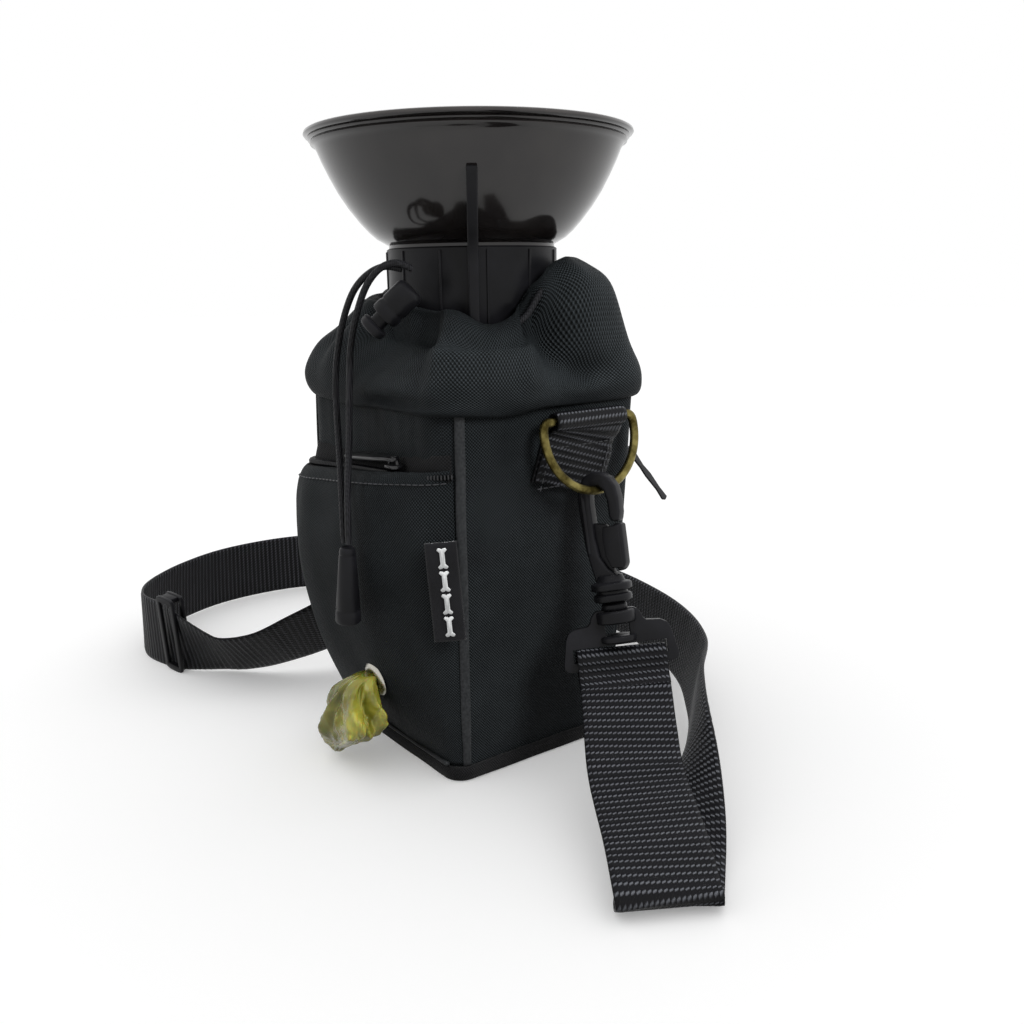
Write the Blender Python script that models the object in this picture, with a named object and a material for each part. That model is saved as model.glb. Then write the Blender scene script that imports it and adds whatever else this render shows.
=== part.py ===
"""Walking pouch for a squeeze-up pet drinking bottle: pouch, pocket, drawcord, bottle, bowl and strap.

Metres, +Z up. The origin is the middle of the base, on the surface that the pouch stands on.
The pocket faces -Y and the visible D-ring is on +X.
"""

from math import cos, hypot, pi, radians, sin

import bmesh
import bpy
from mathutils import Matrix, Vector

MM = 0.001
GAP = 0.3 * MM

# Pouch body
BASE_HALF = Vector((46, 46)) * MM
TOP_HALF = Vector((54, 55)) * MM
BASE_CORNER = 7 * MM
TOP_CORNER = 12 * MM
BODY_TOP = 164 * MM
WALL = 2.5 * MM
BASE_THICK = 3 * MM
LINING = 0.8 * MM
LINING_TOP = 160 * MM
BINDING_HIGH = 7 * MM
BINDING_THICK = 1.3 * MM
SEAM_ANGLE_GAP = 0.035
PIPING_WIDE = 3.4 * MM
PIPING_PROUD = 1.1 * MM

# Cuff
CUFF_HOLE = 43 * MM
CUFF_SKIRT = 161 * MM
CUFF_CREST = 214 * MM
CHANNEL_LOW = 204.5 * MM
CHANNEL_HIGH = 209.5 * MM
CHANNEL_DEEP = 3.6 * MM

# Front pocket
POCKET_WALL = 1.2 * MM
POCKET_PROFILE = ((9, 1.6), (20, 6.5), (40, 12.5), (60, 16.5), (90, 18.5), (120, 16.2), (130, 11.5))
EYELET_AT = Vector((7, 0, 40.5)) * MM
EYELET_HOLE = 4.6 * MM
EYELET_RIM = 7.4 * MM
BAG_ROLL_AT = Vector((-9, -59.1, 80)) * MM

# Bottle and bowl
BOTTLE_R = 36 * MM
BOTTLE_WALL = 1.4 * MM
BOTTLE_LOW = 4.4 * MM
NECK_R = 31 * MM
NECK_TOP = 221 * MM
COLLAR_R = 37.4 * MM
COLLAR_IN = 32.6 * MM
COLLAR_LOW = 199 * MM
BOWL_FLOOR = 228 * MM
BOWL_RIM_R = 70.5 * MM
BOWL_RIM = 274.5 * MM
FIN_THICK = 4.6 * MM
FIN_REACH = 41.2 * MM
FIN_TURN = 59
TUBE_R = 3.5 * MM

# Webbing, rings and hooks
WEB_WIDE = 38 * MM
WEB_THICK = 1.6 * MM
TAB_Y = 16 * MM
RING_WIRE = 1.9 * MM
RING_HALF = 25 * MM
RING_BAR_Z = 154.8 * MM
RING_DROP = 30.6 * MM
RING_OUT = 60.6 * MM
RING_TILT = radians(12)
HOOK_LEAN = Vector((-15.7, 2.6, 58.4)).normalized()
HOOK_FLAT = Vector((0.93, 0.37, 0))
PLATE_FLAT = Vector((0.6, 0.8, 0))
HOOK_EYE = 60.4 * MM
HOOK_ROD = 2.9 * MM
PLATE_WIDE = 49 * MM
PLATE_LOW = -14 * MM
PLATE_HIGH = 8 * MM
PLATE_THICK = 4 * MM
SLOT_LOW = -11 * MM
SLOT_HIGH = -5.5 * MM
GLIDE_STATION = 73

# Cords
CORD_R = 1.4 * MM
LOCK_END = Vector((21.5, -65.2, 193.5)) * MM
LOCK_TAIL = Vector((32.5, -51.4, 209.5)) * MM
LOCK_R = 5.6 * MM
CORD_END_TOP = Vector((15.7, -77.2, 105)) * MM
CORD_END_LONG = 33 * MM
CORD_END_LEAN = radians(5)

# The two drawcord tails, from the cuff eyelets over the cord lock and down to the cord end
TAIL_LEFT = ((28.2, -53.2, 217.2), (23.4, -58.2, 218.2), (16.9, -62.3, 215.3), (9, -64.6, 209), (1.3, -65.4, 199),
             (-5, -65.6, 187), (-8.5, -65.8, 175), (-8.5, -66.4, 161), (-3.5, -68.8, 147), (3.5, -72.3, 135),
             (9.5, -75.4, 123), (12.5, -77, 112), (13.5, -77.2, 106.7))
TAIL_RIGHT = ((32, -50.8, 217.2), (29.5, -56, 219.4), (25, -60.6, 217.8), (18.5, -63.9, 211), (11.5, -65.3, 199.5),
              (6, -65.6, 187.5), (4, -65.8, 176), (3.6, -66.6, 162), (7, -69.3, 147.5), (11.5, -73, 134),
              (15.5, -76, 121), (17.3, -77.2, 111), (17.7, -77.3, 107))

# Shoulder strap: middle of the webbing, and the way its width points, at each station
STRAP = (((76.4, 14.6, 52.0), (0.60, 0.80, 0.00)), ((85.0, 12.0, 44.5), (0.56, 0.82, 0.02)),
         ((103.0, 1.0, 35.0), (0.50, 0.86, 0.05)), ((121.0, -11.5, 24.0), (0.45, 0.88, 0.06)),
         ((148.0, -28.0, 16.0), (0.46, 0.89, 0.04)), ((162.5, -37.5, 11.0), (0.48, 0.88, 0.00)),
         ((168.5, -41.0, 6.5), (0.50, 0.87, 0.00)), ((163.5, -36.5, 2.4), (0.52, 0.86, 0.02)),
         ((147.0, -17.0, 4.6), (0.66, 0.74, 0.14)), ((126.0, 9.0, 11.8), (0.52, 0.55, 0.62)),
         ((104.0, 38.0, 18.6), (0.24, 0.18, 0.95)), ((80.0, 66.0, 19.6), (0.08, 0.12, 0.99)),
         ((58.0, 90.0, 19.6), (0.12, 0.20, 0.97)), ((28.0, 112.0, 19.6), (0.04, 0.16, 0.98)),
         ((-10.0, 128.0, 19.6), (0.00, 0.08, 1.00)), ((-60.0, 138.0, 19.6), (0.00, 0.00, 1.00)),
         ((-120.0, 134.0, 19.6), (0.02, -0.02, 1.00)), ((-180.0, 112.0, 19.6), (0.04, -0.04, 1.00)),
         ((-230.0, 72.0, 19.6), (0.05, -0.03, 1.00)), ((-258.0, 22.0, 19.6), (0.06, 0.00, 1.00)),
         ((-260.0, -26.0, 19.6), (0.08, 0.02, 1.00)), ((-244.0, -64.0, 19.6), (0.12, 0.02, 0.99)),
         ((-220.0, -92.0, 19.4), (0.16, 0.00, 0.99)), ((-194.0, -104.0, 19.4), (0.10, 0.00, 1.00)),
         ((-166.0, -100.0, 19.4), (0.00, 0.00, 1.00)), ((-146.0, -92.0, 20.2), (0.00, 0.00, 1.00)),
         ((-129.0, -81.0, 21.4), (0.00, -0.04, 1.00)), ((-114.0, -67.0, 24.4), (0.00, -0.06, 0.99)),
         ((-104.0, -48.0, 28.5), (0.04, -0.12, 0.98)), ((-97.0, -28.0, 33.5), (0.12, -0.26, 0.94)),
         ((-94.0, -9.0, 38.0), (0.36, -0.52, 0.77)), ((-87.5, 6.5, 43.0), (0.58, -0.80, 0.12)),
         ((-76.4, 14.6, 52.0), (0.60, -0.80, 0.00)))


def clear_scene():
    for obj in list(bpy.data.objects):
        bpy.data.objects.remove(obj, do_unlink=True)


def material(name, colour, roughness, metallic=0.0):
    mat = bpy.data.materials.get(name)
    if mat:
        return mat
    mat = bpy.data.materials.new(name)
    mat.use_nodes = True
    shader = mat.node_tree.nodes["Principled BSDF"]
    shader.inputs["Base Color"].default_value = (*colour, 1.0)
    shader.inputs["Roughness"].default_value = roughness
    shader.inputs["Metallic"].default_value = metallic
    return mat


def canvas():
    return material("canvas", (0.030, 0.033, 0.037), 0.85)


def binding_tape():
    return material("binding_tape", (0.012, 0.012, 0.013), 0.8)


def piping_tape():
    return material("piping_tape", (0.14, 0.14, 0.14), 0.6)


def lining_cloth():
    return material("lining_cloth", (0.02, 0.02, 0.022), 0.6)


def webbing():
    return material("webbing", (0.010, 0.010, 0.011), 0.7)


def hook_plastic():
    return material("hook_plastic", (0.008, 0.008, 0.009), 0.45)


def bowl_plastic():
    return material("bowl_plastic", (0.02, 0.02, 0.023), 0.2)


def bottle_plastic():
    return material("bottle_plastic", (0.01, 0.01, 0.011), 0.35)


def antique_brass():
    return material("antique_brass", (0.33, 0.24, 0.09), 0.35, 1.0)


def eyelet_metal():
    return material("eyelet_metal", (0.45, 0.45, 0.44), 0.35, 1.0)


def zip_coil():
    return material("zip_coil", (0.006, 0.006, 0.006), 0.4)


def cord_cover():
    return material("cord_cover", (0.007, 0.007, 0.007), 0.7)


def bag_film():
    return material("bag_film", (0.42, 0.42, 0.05), 0.35)


def card():
    return material("card", (0.45, 0.33, 0.2), 0.9)


def silicone():
    return material("silicone", (0.6, 0.6, 0.6), 0.5)


def spring_steel():
    return material("spring_steel", (0.5, 0.5, 0.5), 0.3, 1.0)


def link(name, mesh, mat, smooth=True):
    obj = bpy.data.objects.new(name, mesh)
    bpy.context.scene.collection.objects.link(obj)
    mesh.materials.append(mat)
    if smooth:
        mesh.shade_smooth()
        mesh.set_sharp_from_angle(angle=radians(35))
    return obj


def finish_bmesh(name, bm, mat, smooth=True):
    bmesh.ops.recalc_face_normals(bm, faces=bm.faces)
    mesh = bpy.data.meshes.new(name)
    bm.to_mesh(mesh)
    bm.free()
    return link(name, mesh, mat, smooth)


def loft(name, rings, mat, looped=False, smooth=True):
    """A closed solid through rings of equally many points; looped joins the last ring to the first."""
    bm = bmesh.new()
    rows = [[bm.verts.new(p) for p in ring] for ring in rings]
    pairs = list(zip(rows, rows[1:])) + ([(rows[-1], rows[0])] if looped else [])
    for low, high in pairs:
        for i in range(len(low)):
            j = (i + 1) % len(low)
            bm.faces.new((low[i], low[j], high[j], high[i]))
    if not looped:
        bm.faces.new(rows[0])
        bm.faces.new(rows[-1])
    return finish_bmesh(name, bm, mat, smooth)


def lathe(name, profile, mat, steps=40):
    """Turns a closed (radius, z) outline round Z. A point of radius 0 becomes a pole."""
    bm = bmesh.new()
    rows = []
    for r, z in profile:
        turn = [(r * cos(2 * pi * k / steps), r * sin(2 * pi * k / steps), z) for k in range(steps)]
        rows.append([bm.verts.new(p) for p in turn] if r > 0 else [bm.verts.new((0, 0, z))])
    for low, high in zip(rows, rows[1:] + rows[:1]):
        for k in range(steps):
            corners = [low[k % len(low)], low[(k + 1) % len(low)], high[(k + 1) % len(high)], high[k % len(high)]]
            distinct = list(dict.fromkeys(corners))
            if len(distinct) > 2:
                bm.faces.new(distinct)
    return finish_bmesh(name, bm, mat)


def block(name, size, mat, bevel=0.0):
    """A box about its own origin, with bevelled edges."""
    bm = bmesh.new()
    bmesh.ops.create_cube(bm, size=1, matrix=Matrix.Diagonal((*size, 1)))
    if bevel:
        bmesh.ops.bevel(bm, geom=bm.edges[:], offset=bevel, segments=2, affect="EDGES", profile=0.5)
    return finish_bmesh(name, bm, mat)


def smooth_route(points, per_span=3):
    """Points on a Catmull-Rom curve through the route's own points."""
    pts = [Vector(p) for p in points]
    padded = [2 * pts[0] - pts[1]] + pts + [2 * pts[-1] - pts[-2]]
    route = []
    for a, b, c, d in zip(padded, padded[1:], padded[2:], padded[3:]):
        for k in range(per_span):
            t = k / per_span
            route.append(0.5 * (2 * b + (c - a) * t + (2 * a - 5 * b + 4 * c - d) * t ** 2
                                + (3 * b - a - 3 * c + d) * t ** 3))
    return route + [pts[-1]]


def tube(name, points, radius, mat, cyclic=False, sides=2):
    curve = bpy.data.curves.new(name, "CURVE")
    curve.dimensions = "3D"
    curve.bevel_depth = radius
    curve.bevel_resolution = sides
    curve.use_fill_caps = not cyclic
    spline = curve.splines.new("POLY")
    spline.points.add(len(points) - 1)
    for point, place in zip(spline.points, points):
        point.co = (*place, 1)
    spline.use_cyclic_u = cyclic
    obj = bpy.data.objects.new(name, curve)
    bpy.context.scene.collection.objects.link(obj)
    curve.materials.append(mat)
    return obj


def as_mesh(obj):
    """The curve object again as a mesh object of the same name, for a Boolean."""
    graph = bpy.context.evaluated_depsgraph_get()
    mesh = bpy.data.meshes.new_from_object(obj.evaluated_get(graph))
    name = obj.name
    bpy.data.objects.remove(obj)
    bm = bmesh.new()
    bm.from_mesh(mesh)
    bmesh.ops.remove_doubles(bm, verts=bm.verts, dist=1e-6)
    bmesh.ops.recalc_face_normals(bm, faces=bm.faces)
    bm.to_mesh(mesh)
    bm.free()
    made = bpy.data.objects.new(name, mesh)
    bpy.context.scene.collection.objects.link(made)
    return made


def boolean(obj, other, operation):
    other.hide_render = True
    other.display_type = "WIRE"
    mod = obj.modifiers.new(other.name, "BOOLEAN")
    mod.operation = operation
    mod.solver = "EXACT"
    mod.object = other


def pivot(name, at, rotation=None):
    empty = bpy.data.objects.new(name, None)
    bpy.context.scene.collection.objects.link(empty)
    empty.location = at
    if rotation:
        empty.rotation_mode = "QUATERNION"
        empty.rotation_quaternion = rotation
    return empty


def body_size(z):
    """Half sizes and corner radius of the pouch's outside at a height."""
    t = z / BODY_TOP
    half = BASE_HALF.lerp(TOP_HALF, t)
    return half, BASE_CORNER + (TOP_CORNER - BASE_CORNER) * t


def corner_arc(half, radius, z, corner, start, end, steps=4):
    """Points of one rounded corner, 0 to 3 from +X+Y counterclockwise, between two angles in its quarter."""
    signs = ((1, 1), (-1, 1), (-1, -1), (1, -1))[corner]
    centre = Vector((signs[0] * (half.x - radius), signs[1] * (half.y - radius)))
    base = corner * pi / 2
    angles = [base + start + (end - start) * k / steps for k in range(steps + 1)]
    return [Vector((centre.x + radius * cos(a), centre.y + radius * sin(a), z)) for a in angles]


def rounded(half, radius, z):
    """A whole rounded rectangle."""
    return [p for corner in range(4) for p in corner_arc(half, radius, z, corner, 0, pi / 2)]


def panel_ring(corner, z):
    """The closed outline of the wall from the middle of one corner to the middle of the next."""
    half, radius = body_size(z)
    inset = Vector((WALL, WALL))
    start, end = pi / 4 + SEAM_ANGLE_GAP, pi / 4 - SEAM_ANGLE_GAP
    following = (corner + 1) % 4
    outer = corner_arc(half, radius, z, corner, start, pi / 2)
    outer += corner_arc(half, radius, z, following, 0, end)
    inner = corner_arc(half - inset, radius - WALL, z, corner, start, pi / 2)
    inner += corner_arc(half - inset, radius - WALL, z, following, 0, end)
    return outer + inner[::-1]


def walls():
    heights = [BASE_THICK + GAP + (BODY_TOP - BASE_THICK - GAP) * k / 4 for k in range(5)]
    for corner, name in enumerate(("back_panel", "left_panel", "front_panel", "right_panel")):
        loft(name, [panel_ring(corner, z) for z in heights], canvas())
    loft("base_panel", [rounded(BASE_HALF, BASE_CORNER, z) for z in (0, BASE_THICK)], canvas())


def ring_between(name, levels, mat):
    """A hollow ring from (half, radius, z) levels listed round its section."""
    loft(name, [rounded(half, radius, z) for half, radius, z in levels], mat, looped=True)


def base_binding():
    levels = []
    for z, out in ((0, GAP), (BINDING_HIGH, GAP), (BINDING_HIGH, GAP + BINDING_THICK), (0, GAP + BINDING_THICK)):
        half, radius = body_size(z)
        levels.append((half + Vector((out, out)), radius + out, z))
    ring_between("base_binding", levels, binding_tape())


def lining():
    """An open sleeve with a floor, hanging inside the walls."""
    floor = BASE_THICK + GAP
    inner_in = WALL + GAP + LINING
    rings = []
    for z, inset in ((floor, WALL + GAP), (LINING_TOP, WALL + GAP), (LINING_TOP, inner_in), (floor + LINING, inner_in)):
        half, radius = body_size(z)
        rings.append(rounded(half - Vector((inset, inset)), radius - inset, z))
    loft("lining", rings, lining_cloth())


def corner_piping():
    for corner, name in ((2, "front_left_piping"), (3, "front_right_piping")):
        rings = []
        for k in range(5):
            z = BINDING_HIGH + GAP + (CUFF_SKIRT - GAP - BINDING_HIGH - GAP) * k / 4
            half, radius = body_size(z)
            spread = PIPING_WIDE / radius / 2
            arcs = []
            for out in (PIPING_PROUD, GAP):
                grown = half + Vector((out, out))
                arcs.append(corner_arc(grown, radius + out, z, corner, pi / 4 - spread, pi / 4 + spread, 2))
            rings.append(arcs[0] + arcs[1][::-1])
        loft(name, rings, piping_tape())


def cuff():
    """The gathered drawstring top: a ring with a round hole, an overhanging skirt and a cord channel inside."""
    half, _ = body_size(BODY_TOP)
    skirt = half + Vector((0.5, 0.5)) * MM
    levels = (
        (skirt, TOP_CORNER, CUFF_SKIRT), (skirt, TOP_CORNER, BODY_TOP + GAP),
        (CUFF_HOLE, CUFF_HOLE, BODY_TOP + GAP), (CUFF_HOLE, CUFF_HOLE, CHANNEL_LOW),
        (CUFF_HOLE + CHANNEL_DEEP, CUFF_HOLE + CHANNEL_DEEP, CHANNEL_LOW),
        (CUFF_HOLE + CHANNEL_DEEP, CUFF_HOLE + CHANNEL_DEEP, CHANNEL_HIGH),
        (CUFF_HOLE, CUFF_HOLE, CHANNEL_HIGH), (CUFF_HOLE + 1 * MM, CUFF_HOLE, CUFF_CREST - 1.5 * MM),
        (47 * MM, 45 * MM, CUFF_CREST), (50.5 * MM, 42 * MM, 208 * MM), (54 * MM, 36 * MM, 199 * MM),
        (58.5 * MM, 29 * MM, 186 * MM), (61 * MM, 22 * MM, 174 * MM), (61 * MM, 18 * MM, 165 * MM),
        (59 * MM, 15 * MM, CUFF_SKIRT),
    )
    rings = []
    for size, radius, z in levels:
        size = size if isinstance(size, Vector) else Vector((size, size))
        rings.append(rounded(size, min(radius, min(size) - 1e-5), z))
    loft("top_cuff", rings, canvas(), looped=True)


def pocket_bulge(z):
    """How far the pocket stands off the front wall at a height."""
    levels = [(low * MM, out * MM) for low, out in POCKET_PROFILE]
    for (z0, d0), (z1, d1) in zip(levels, levels[1:]):
        if z <= z1:
            return d0 + (d1 - d0) * (z - z0) / (z1 - z0)
    return levels[-1][1]


def pocket_ring(z, wall):
    """The pocket's section: from the front left corner, round the bulge, to the front right piping."""
    half, _ = body_size(z)
    bulge = pocket_bulge(z)
    front = -half.y - GAP
    left = -half.x + 3 * MM
    outline = ((0, 0.0), (-1.5, 0.45), (-0.5, 0.8), (3, 0.96), (12, 1.0), (36, 1.04), (60, 1.0), (76, 0.75), (88, 0.25),
               (half.x / MM * 2 - 10, 0.0))
    outer = [Vector((left + along * MM, front - bulge * out, z)) for along, out in outline]
    inner = []
    for index, point in enumerate(outer):
        before, after = outer[max(index - 1, 0)], outer[min(index + 1, len(outer) - 1)]
        along = (after - before).normalized()
        normal = Vector((-along.y, along.x, 0))
        shifted = point + normal * wall
        inner.append(Vector((shifted.x, min(shifted.y, front), z)))
    return outer + inner[::-1]


def pocket():
    heights = [low * MM for low, _ in POCKET_PROFILE]
    shell = loft("pocket_front", [pocket_ring(z, POCKET_WALL) for z in heights], canvas())
    hole = lathe("eyelet_cutter", ((0, -20 * MM), (EYELET_HOLE, -20 * MM), (EYELET_HOLE, 20 * MM), (0, 20 * MM)),
                 canvas(), 20)
    hole.location, hole.rotation_euler = eyelet_place()
    boolean(shell, hole, "DIFFERENCE")
    half, _ = body_size(BINDING_HIGH)
    low = BINDING_HIGH + GAP
    strip = Vector((2 * (half.x - 12 * MM), 1.3 * MM, 1.4 * MM))
    piping = block("pocket_piping", strip, piping_tape(), 0.4 * MM)
    piping.location = (0, -half.y - 1.1 * MM, low + strip.z / 2)


def eyelet_place():
    """Where the ring eyelet sits on the sloping pocket, and its turn."""
    half, _ = body_size(EYELET_AT.z)
    rise = 10 * MM
    slope = (pocket_bulge(EYELET_AT.z + rise) + body_size(EYELET_AT.z + rise)[0].y
             - pocket_bulge(EYELET_AT.z - rise) - body_size(EYELET_AT.z - rise)[0].y) / (2 * rise)
    y = -half.y - pocket_bulge(EYELET_AT.z) * 1.02 + 0.6 * MM
    return Vector((EYELET_AT.x, y, EYELET_AT.z)), (pi / 2 + slope * 0.72, 0, 0)


def bag_parts():
    place, turn = eyelet_place()
    inner, rim = EYELET_HOLE - 1 * MM, EYELET_RIM
    ring = lathe("bag_eyelet", ((inner, -2.2 * MM), (inner + 0.7 * MM, -2.2 * MM), (inner + 0.7 * MM, 1.9 * MM),
                                (rim, 1.9 * MM), (rim - 0.6 * MM, 2.9 * MM), (inner + 0.3 * MM, 3.1 * MM),
                                (inner, 2.4 * MM)), eyelet_metal(), 28)
    ring.location, ring.rotation_euler = place, turn
    washer = lathe("eyelet_washer", ((inner + 1 * MM, -2.2 * MM), (rim, -2.2 * MM), (rim, -1.5 * MM),
                                     (inner + 1 * MM, -1.5 * MM)), eyelet_metal(), 28)
    washer.location, washer.rotation_euler = place, turn
    roll_at = BAG_ROLL_AT
    axle = pivot("bag_roll_axis", roll_at)
    core_r, roll_r, roll_half = 3.6 * MM, 6.9 * MM, 27 * MM
    core = lathe("roll_core", ((core_r - 1 * MM, -roll_half), (core_r, -roll_half), (core_r, roll_half),
                               (core_r - 1 * MM, roll_half)), card(), 20)
    roll = lathe("bag_roll", ((core_r + GAP, -roll_half), (roll_r, -roll_half), (roll_r, roll_half),
                              (core_r + GAP, roll_half)), bag_film(), 24)
    for obj in (core, roll):
        obj.parent = axle
        obj.rotation_euler = (0, pi / 2, 0)
    bag_tail(place)


def bag_tail(place):
    """The crumpled film pulled out of the eyelet: a narrow neck inside, then a hanging fan."""
    stations = ((place + Vector((0, 8, 1.77)) * MM, 2.2, 2.2), (place + Vector((0, 0, 0)), 2.3, 2.3),
                (place + Vector((-1, -7, -2)) * MM, 4.5, 4), (place + Vector((-4, -11, -10)) * MM, 11, 6),
                (place + Vector((-9, -13, -20)) * MM, 15, 6.5), (place + Vector((-15, -15, -29)) * MM, 11, 5),
                (place + Vector((-18, -16, -36)) * MM, 6, 3))
    steps = 14
    rings = []
    for index, (at, wide, deep) in enumerate(stations):
        hanging = index > 2
        ring = []
        for k in range(steps):
            along, up = wide * cos(2 * pi * k / steps), deep * sin(2 * pi * k / steps)
            offset = (along, -up, 0.25 * along) if hanging else (along, 0.05 * along, up)
            ring.append(at + Vector(offset) * MM)
        rings.append(ring)
    loft("bag_tail", rings, bag_film())


def zipper():
    """Tape, coil, slider and puller above the pocket. The slider's own origin is on its slide, the puller's on its pin."""
    top = POCKET_PROFILE[-1][0] * MM
    half, _ = body_size(top)
    width = 2 * (half.x - 9 * MM)
    wall = -half.y - GAP
    parts = (("pocket_zip_tape_lower", (0, wall - 8.8 * MM, top + 2.2 * MM), (width, 4.6 * MM, 0.9 * MM), binding_tape()),
             ("pocket_zip_tape_upper", (0, wall - 1.5 * MM, top + 6.4 * MM), (width, 1.0 * MM, 9 * MM), binding_tape()),
             ("pocket_zip_coil_lower", (0, wall - 5.6 * MM, top + 2.6 * MM), (width, 1.3 * MM, 1.8 * MM), zip_coil()),
             ("pocket_zip_coil_upper", (0, wall - 3.9 * MM, top + 2.6 * MM), (width, 1.3 * MM, 1.8 * MM), zip_coil()))
    for name, at, size, mat in parts:
        block(name, size, mat, 0.3 * MM).location = at
    slide = pivot("pocket_zip_slide", (24 * MM, wall - 4.75 * MM, top + 2.6 * MM))
    slider = block("pocket_zip_slider", (10 * MM, 5 * MM, 1.8 * MM), zip_coil(), 0.4 * MM)
    slider.parent, slider.location = slide, (0, 0, 2.4 * MM)
    pin = pivot("pocket_puller_pin", (0, 0, 5.4 * MM))
    pin.parent = slide
    puller = block("pocket_zip_puller", (34 * MM, 5 * MM, 1.6 * MM), zip_coil(), 0.5 * MM)
    puller.parent, puller.location = pin, (-14.5 * MM, 0, 0)


def rear_pocket():
    """A flat zipped pocket on the back wall, with its own slider and hanging puller."""
    panel = block("rear_pocket", (84 * MM, 1.4 * MM, 106 * MM), canvas(), 0.4 * MM)
    tilt = (TOP_HALF.y - BASE_HALF.y) / BODY_TOP
    panel.location = (0, body_size(74 * MM)[0].y + 1.3 * MM, 74 * MM)
    panel.rotation_euler.x = -tilt
    zip_z = 133 * MM
    wall = body_size(zip_z)[0].y
    tape = block("rear_zip", (84 * MM, 1.6 * MM, 7 * MM), zip_coil(), 0.4 * MM)
    tape.location, tape.rotation_euler = (0, wall + 1.5 * MM, zip_z), (-tilt, 0, 0)
    slide = pivot("rear_zip_slide", (34 * MM, wall + 1.5 * MM, zip_z))
    slider = block("rear_zip_slider", (9 * MM, 2 * MM, 8 * MM), zip_coil(), 0.4 * MM)
    slider.parent, slider.location = slide, (0, 2.4 * MM, 0)
    hang = Vector((0.63, 0.2, -0.75)).normalized()
    pin = pivot("rear_puller_pin", (5.5 * MM, 5.8 * MM, 0), Vector((0, 0, -1)).rotation_difference(hang))
    pin.parent = slide
    puller = block("rear_zip_puller", (3 * MM, 1.5 * MM, 30 * MM), zip_coil(), 0.4 * MM)
    puller.parent, puller.location = pin, (0, 0, -13 * MM)


def woven_label():
    """A small folded label standing out of the front right seam."""
    z = 90 * MM
    half, _ = body_size(z)
    label = block("woven_label", (12.5 * MM, 1 * MM, 41 * MM), binding_tape(), 0.3 * MM)
    label.location = (half.x + 0.6 * MM, -half.y - 2.2 * MM, z)
    label.rotation_euler = (0, 0, radians(53))


def belt_loop():
    """A webbing loop sewn above the rear pocket, open for a belt."""
    z_low, z_high = 141 * MM, 156.5 * MM
    wall = body_size(z_high)[0].y + GAP
    loop = block("belt_loop", (70 * MM, 1.5 * MM, z_high - z_low), webbing(), 0.3 * MM)
    loop.location = (-2 * MM, wall + 8 * MM, (z_low + z_high) / 2)
    for k, x in enumerate((-35.5 * MM, 31.5 * MM)):
        leg = block(f"belt_loop_leg_{k}", (3 * MM, 8 * MM, z_high - z_low), webbing())
        leg.location = (x, wall + 4.2 * MM, (z_low + z_high) / 2)
        boolean(loop, leg, "UNION")


def bottle():
    """A squeeze bottle with an open neck, its seal ring and its drinking tube."""
    wall = BOTTLE_WALL
    outline = ((0, BOTTLE_LOW), (BOTTLE_R - 3 * MM, BOTTLE_LOW), (BOTTLE_R, BOTTLE_LOW + 3 * MM), (BOTTLE_R, 172 * MM),
               (NECK_R, 188 * MM), (NECK_R, NECK_TOP), (NECK_R - 2 * wall, NECK_TOP), (NECK_R - 2 * wall, 187 * MM),
               (BOTTLE_R - wall, 171 * MM), (BOTTLE_R - wall, BOTTLE_LOW + 4 * MM), (0, BOTTLE_LOW + 1.6 * MM))
    lathe("bottle", outline, bottle_plastic())
    seal_low = NECK_TOP + GAP
    seal = ((NECK_R - 4 * MM, seal_low), (NECK_R, seal_low), (NECK_R, seal_low + 1.8 * MM),
            (NECK_R - 4 * MM, seal_low + 1.8 * MM))
    lathe("bottle_seal", seal, silicone())
    tube_top = BOWL_FLOOR - 3.4 * MM - GAP
    straw = ((TUBE_R - 1 * MM, 14 * MM), (TUBE_R, 14 * MM), (TUBE_R, tube_top), (TUBE_R - 1 * MM, tube_top))
    lathe("water_tube", straw, bottle_plastic(), 16)


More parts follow.
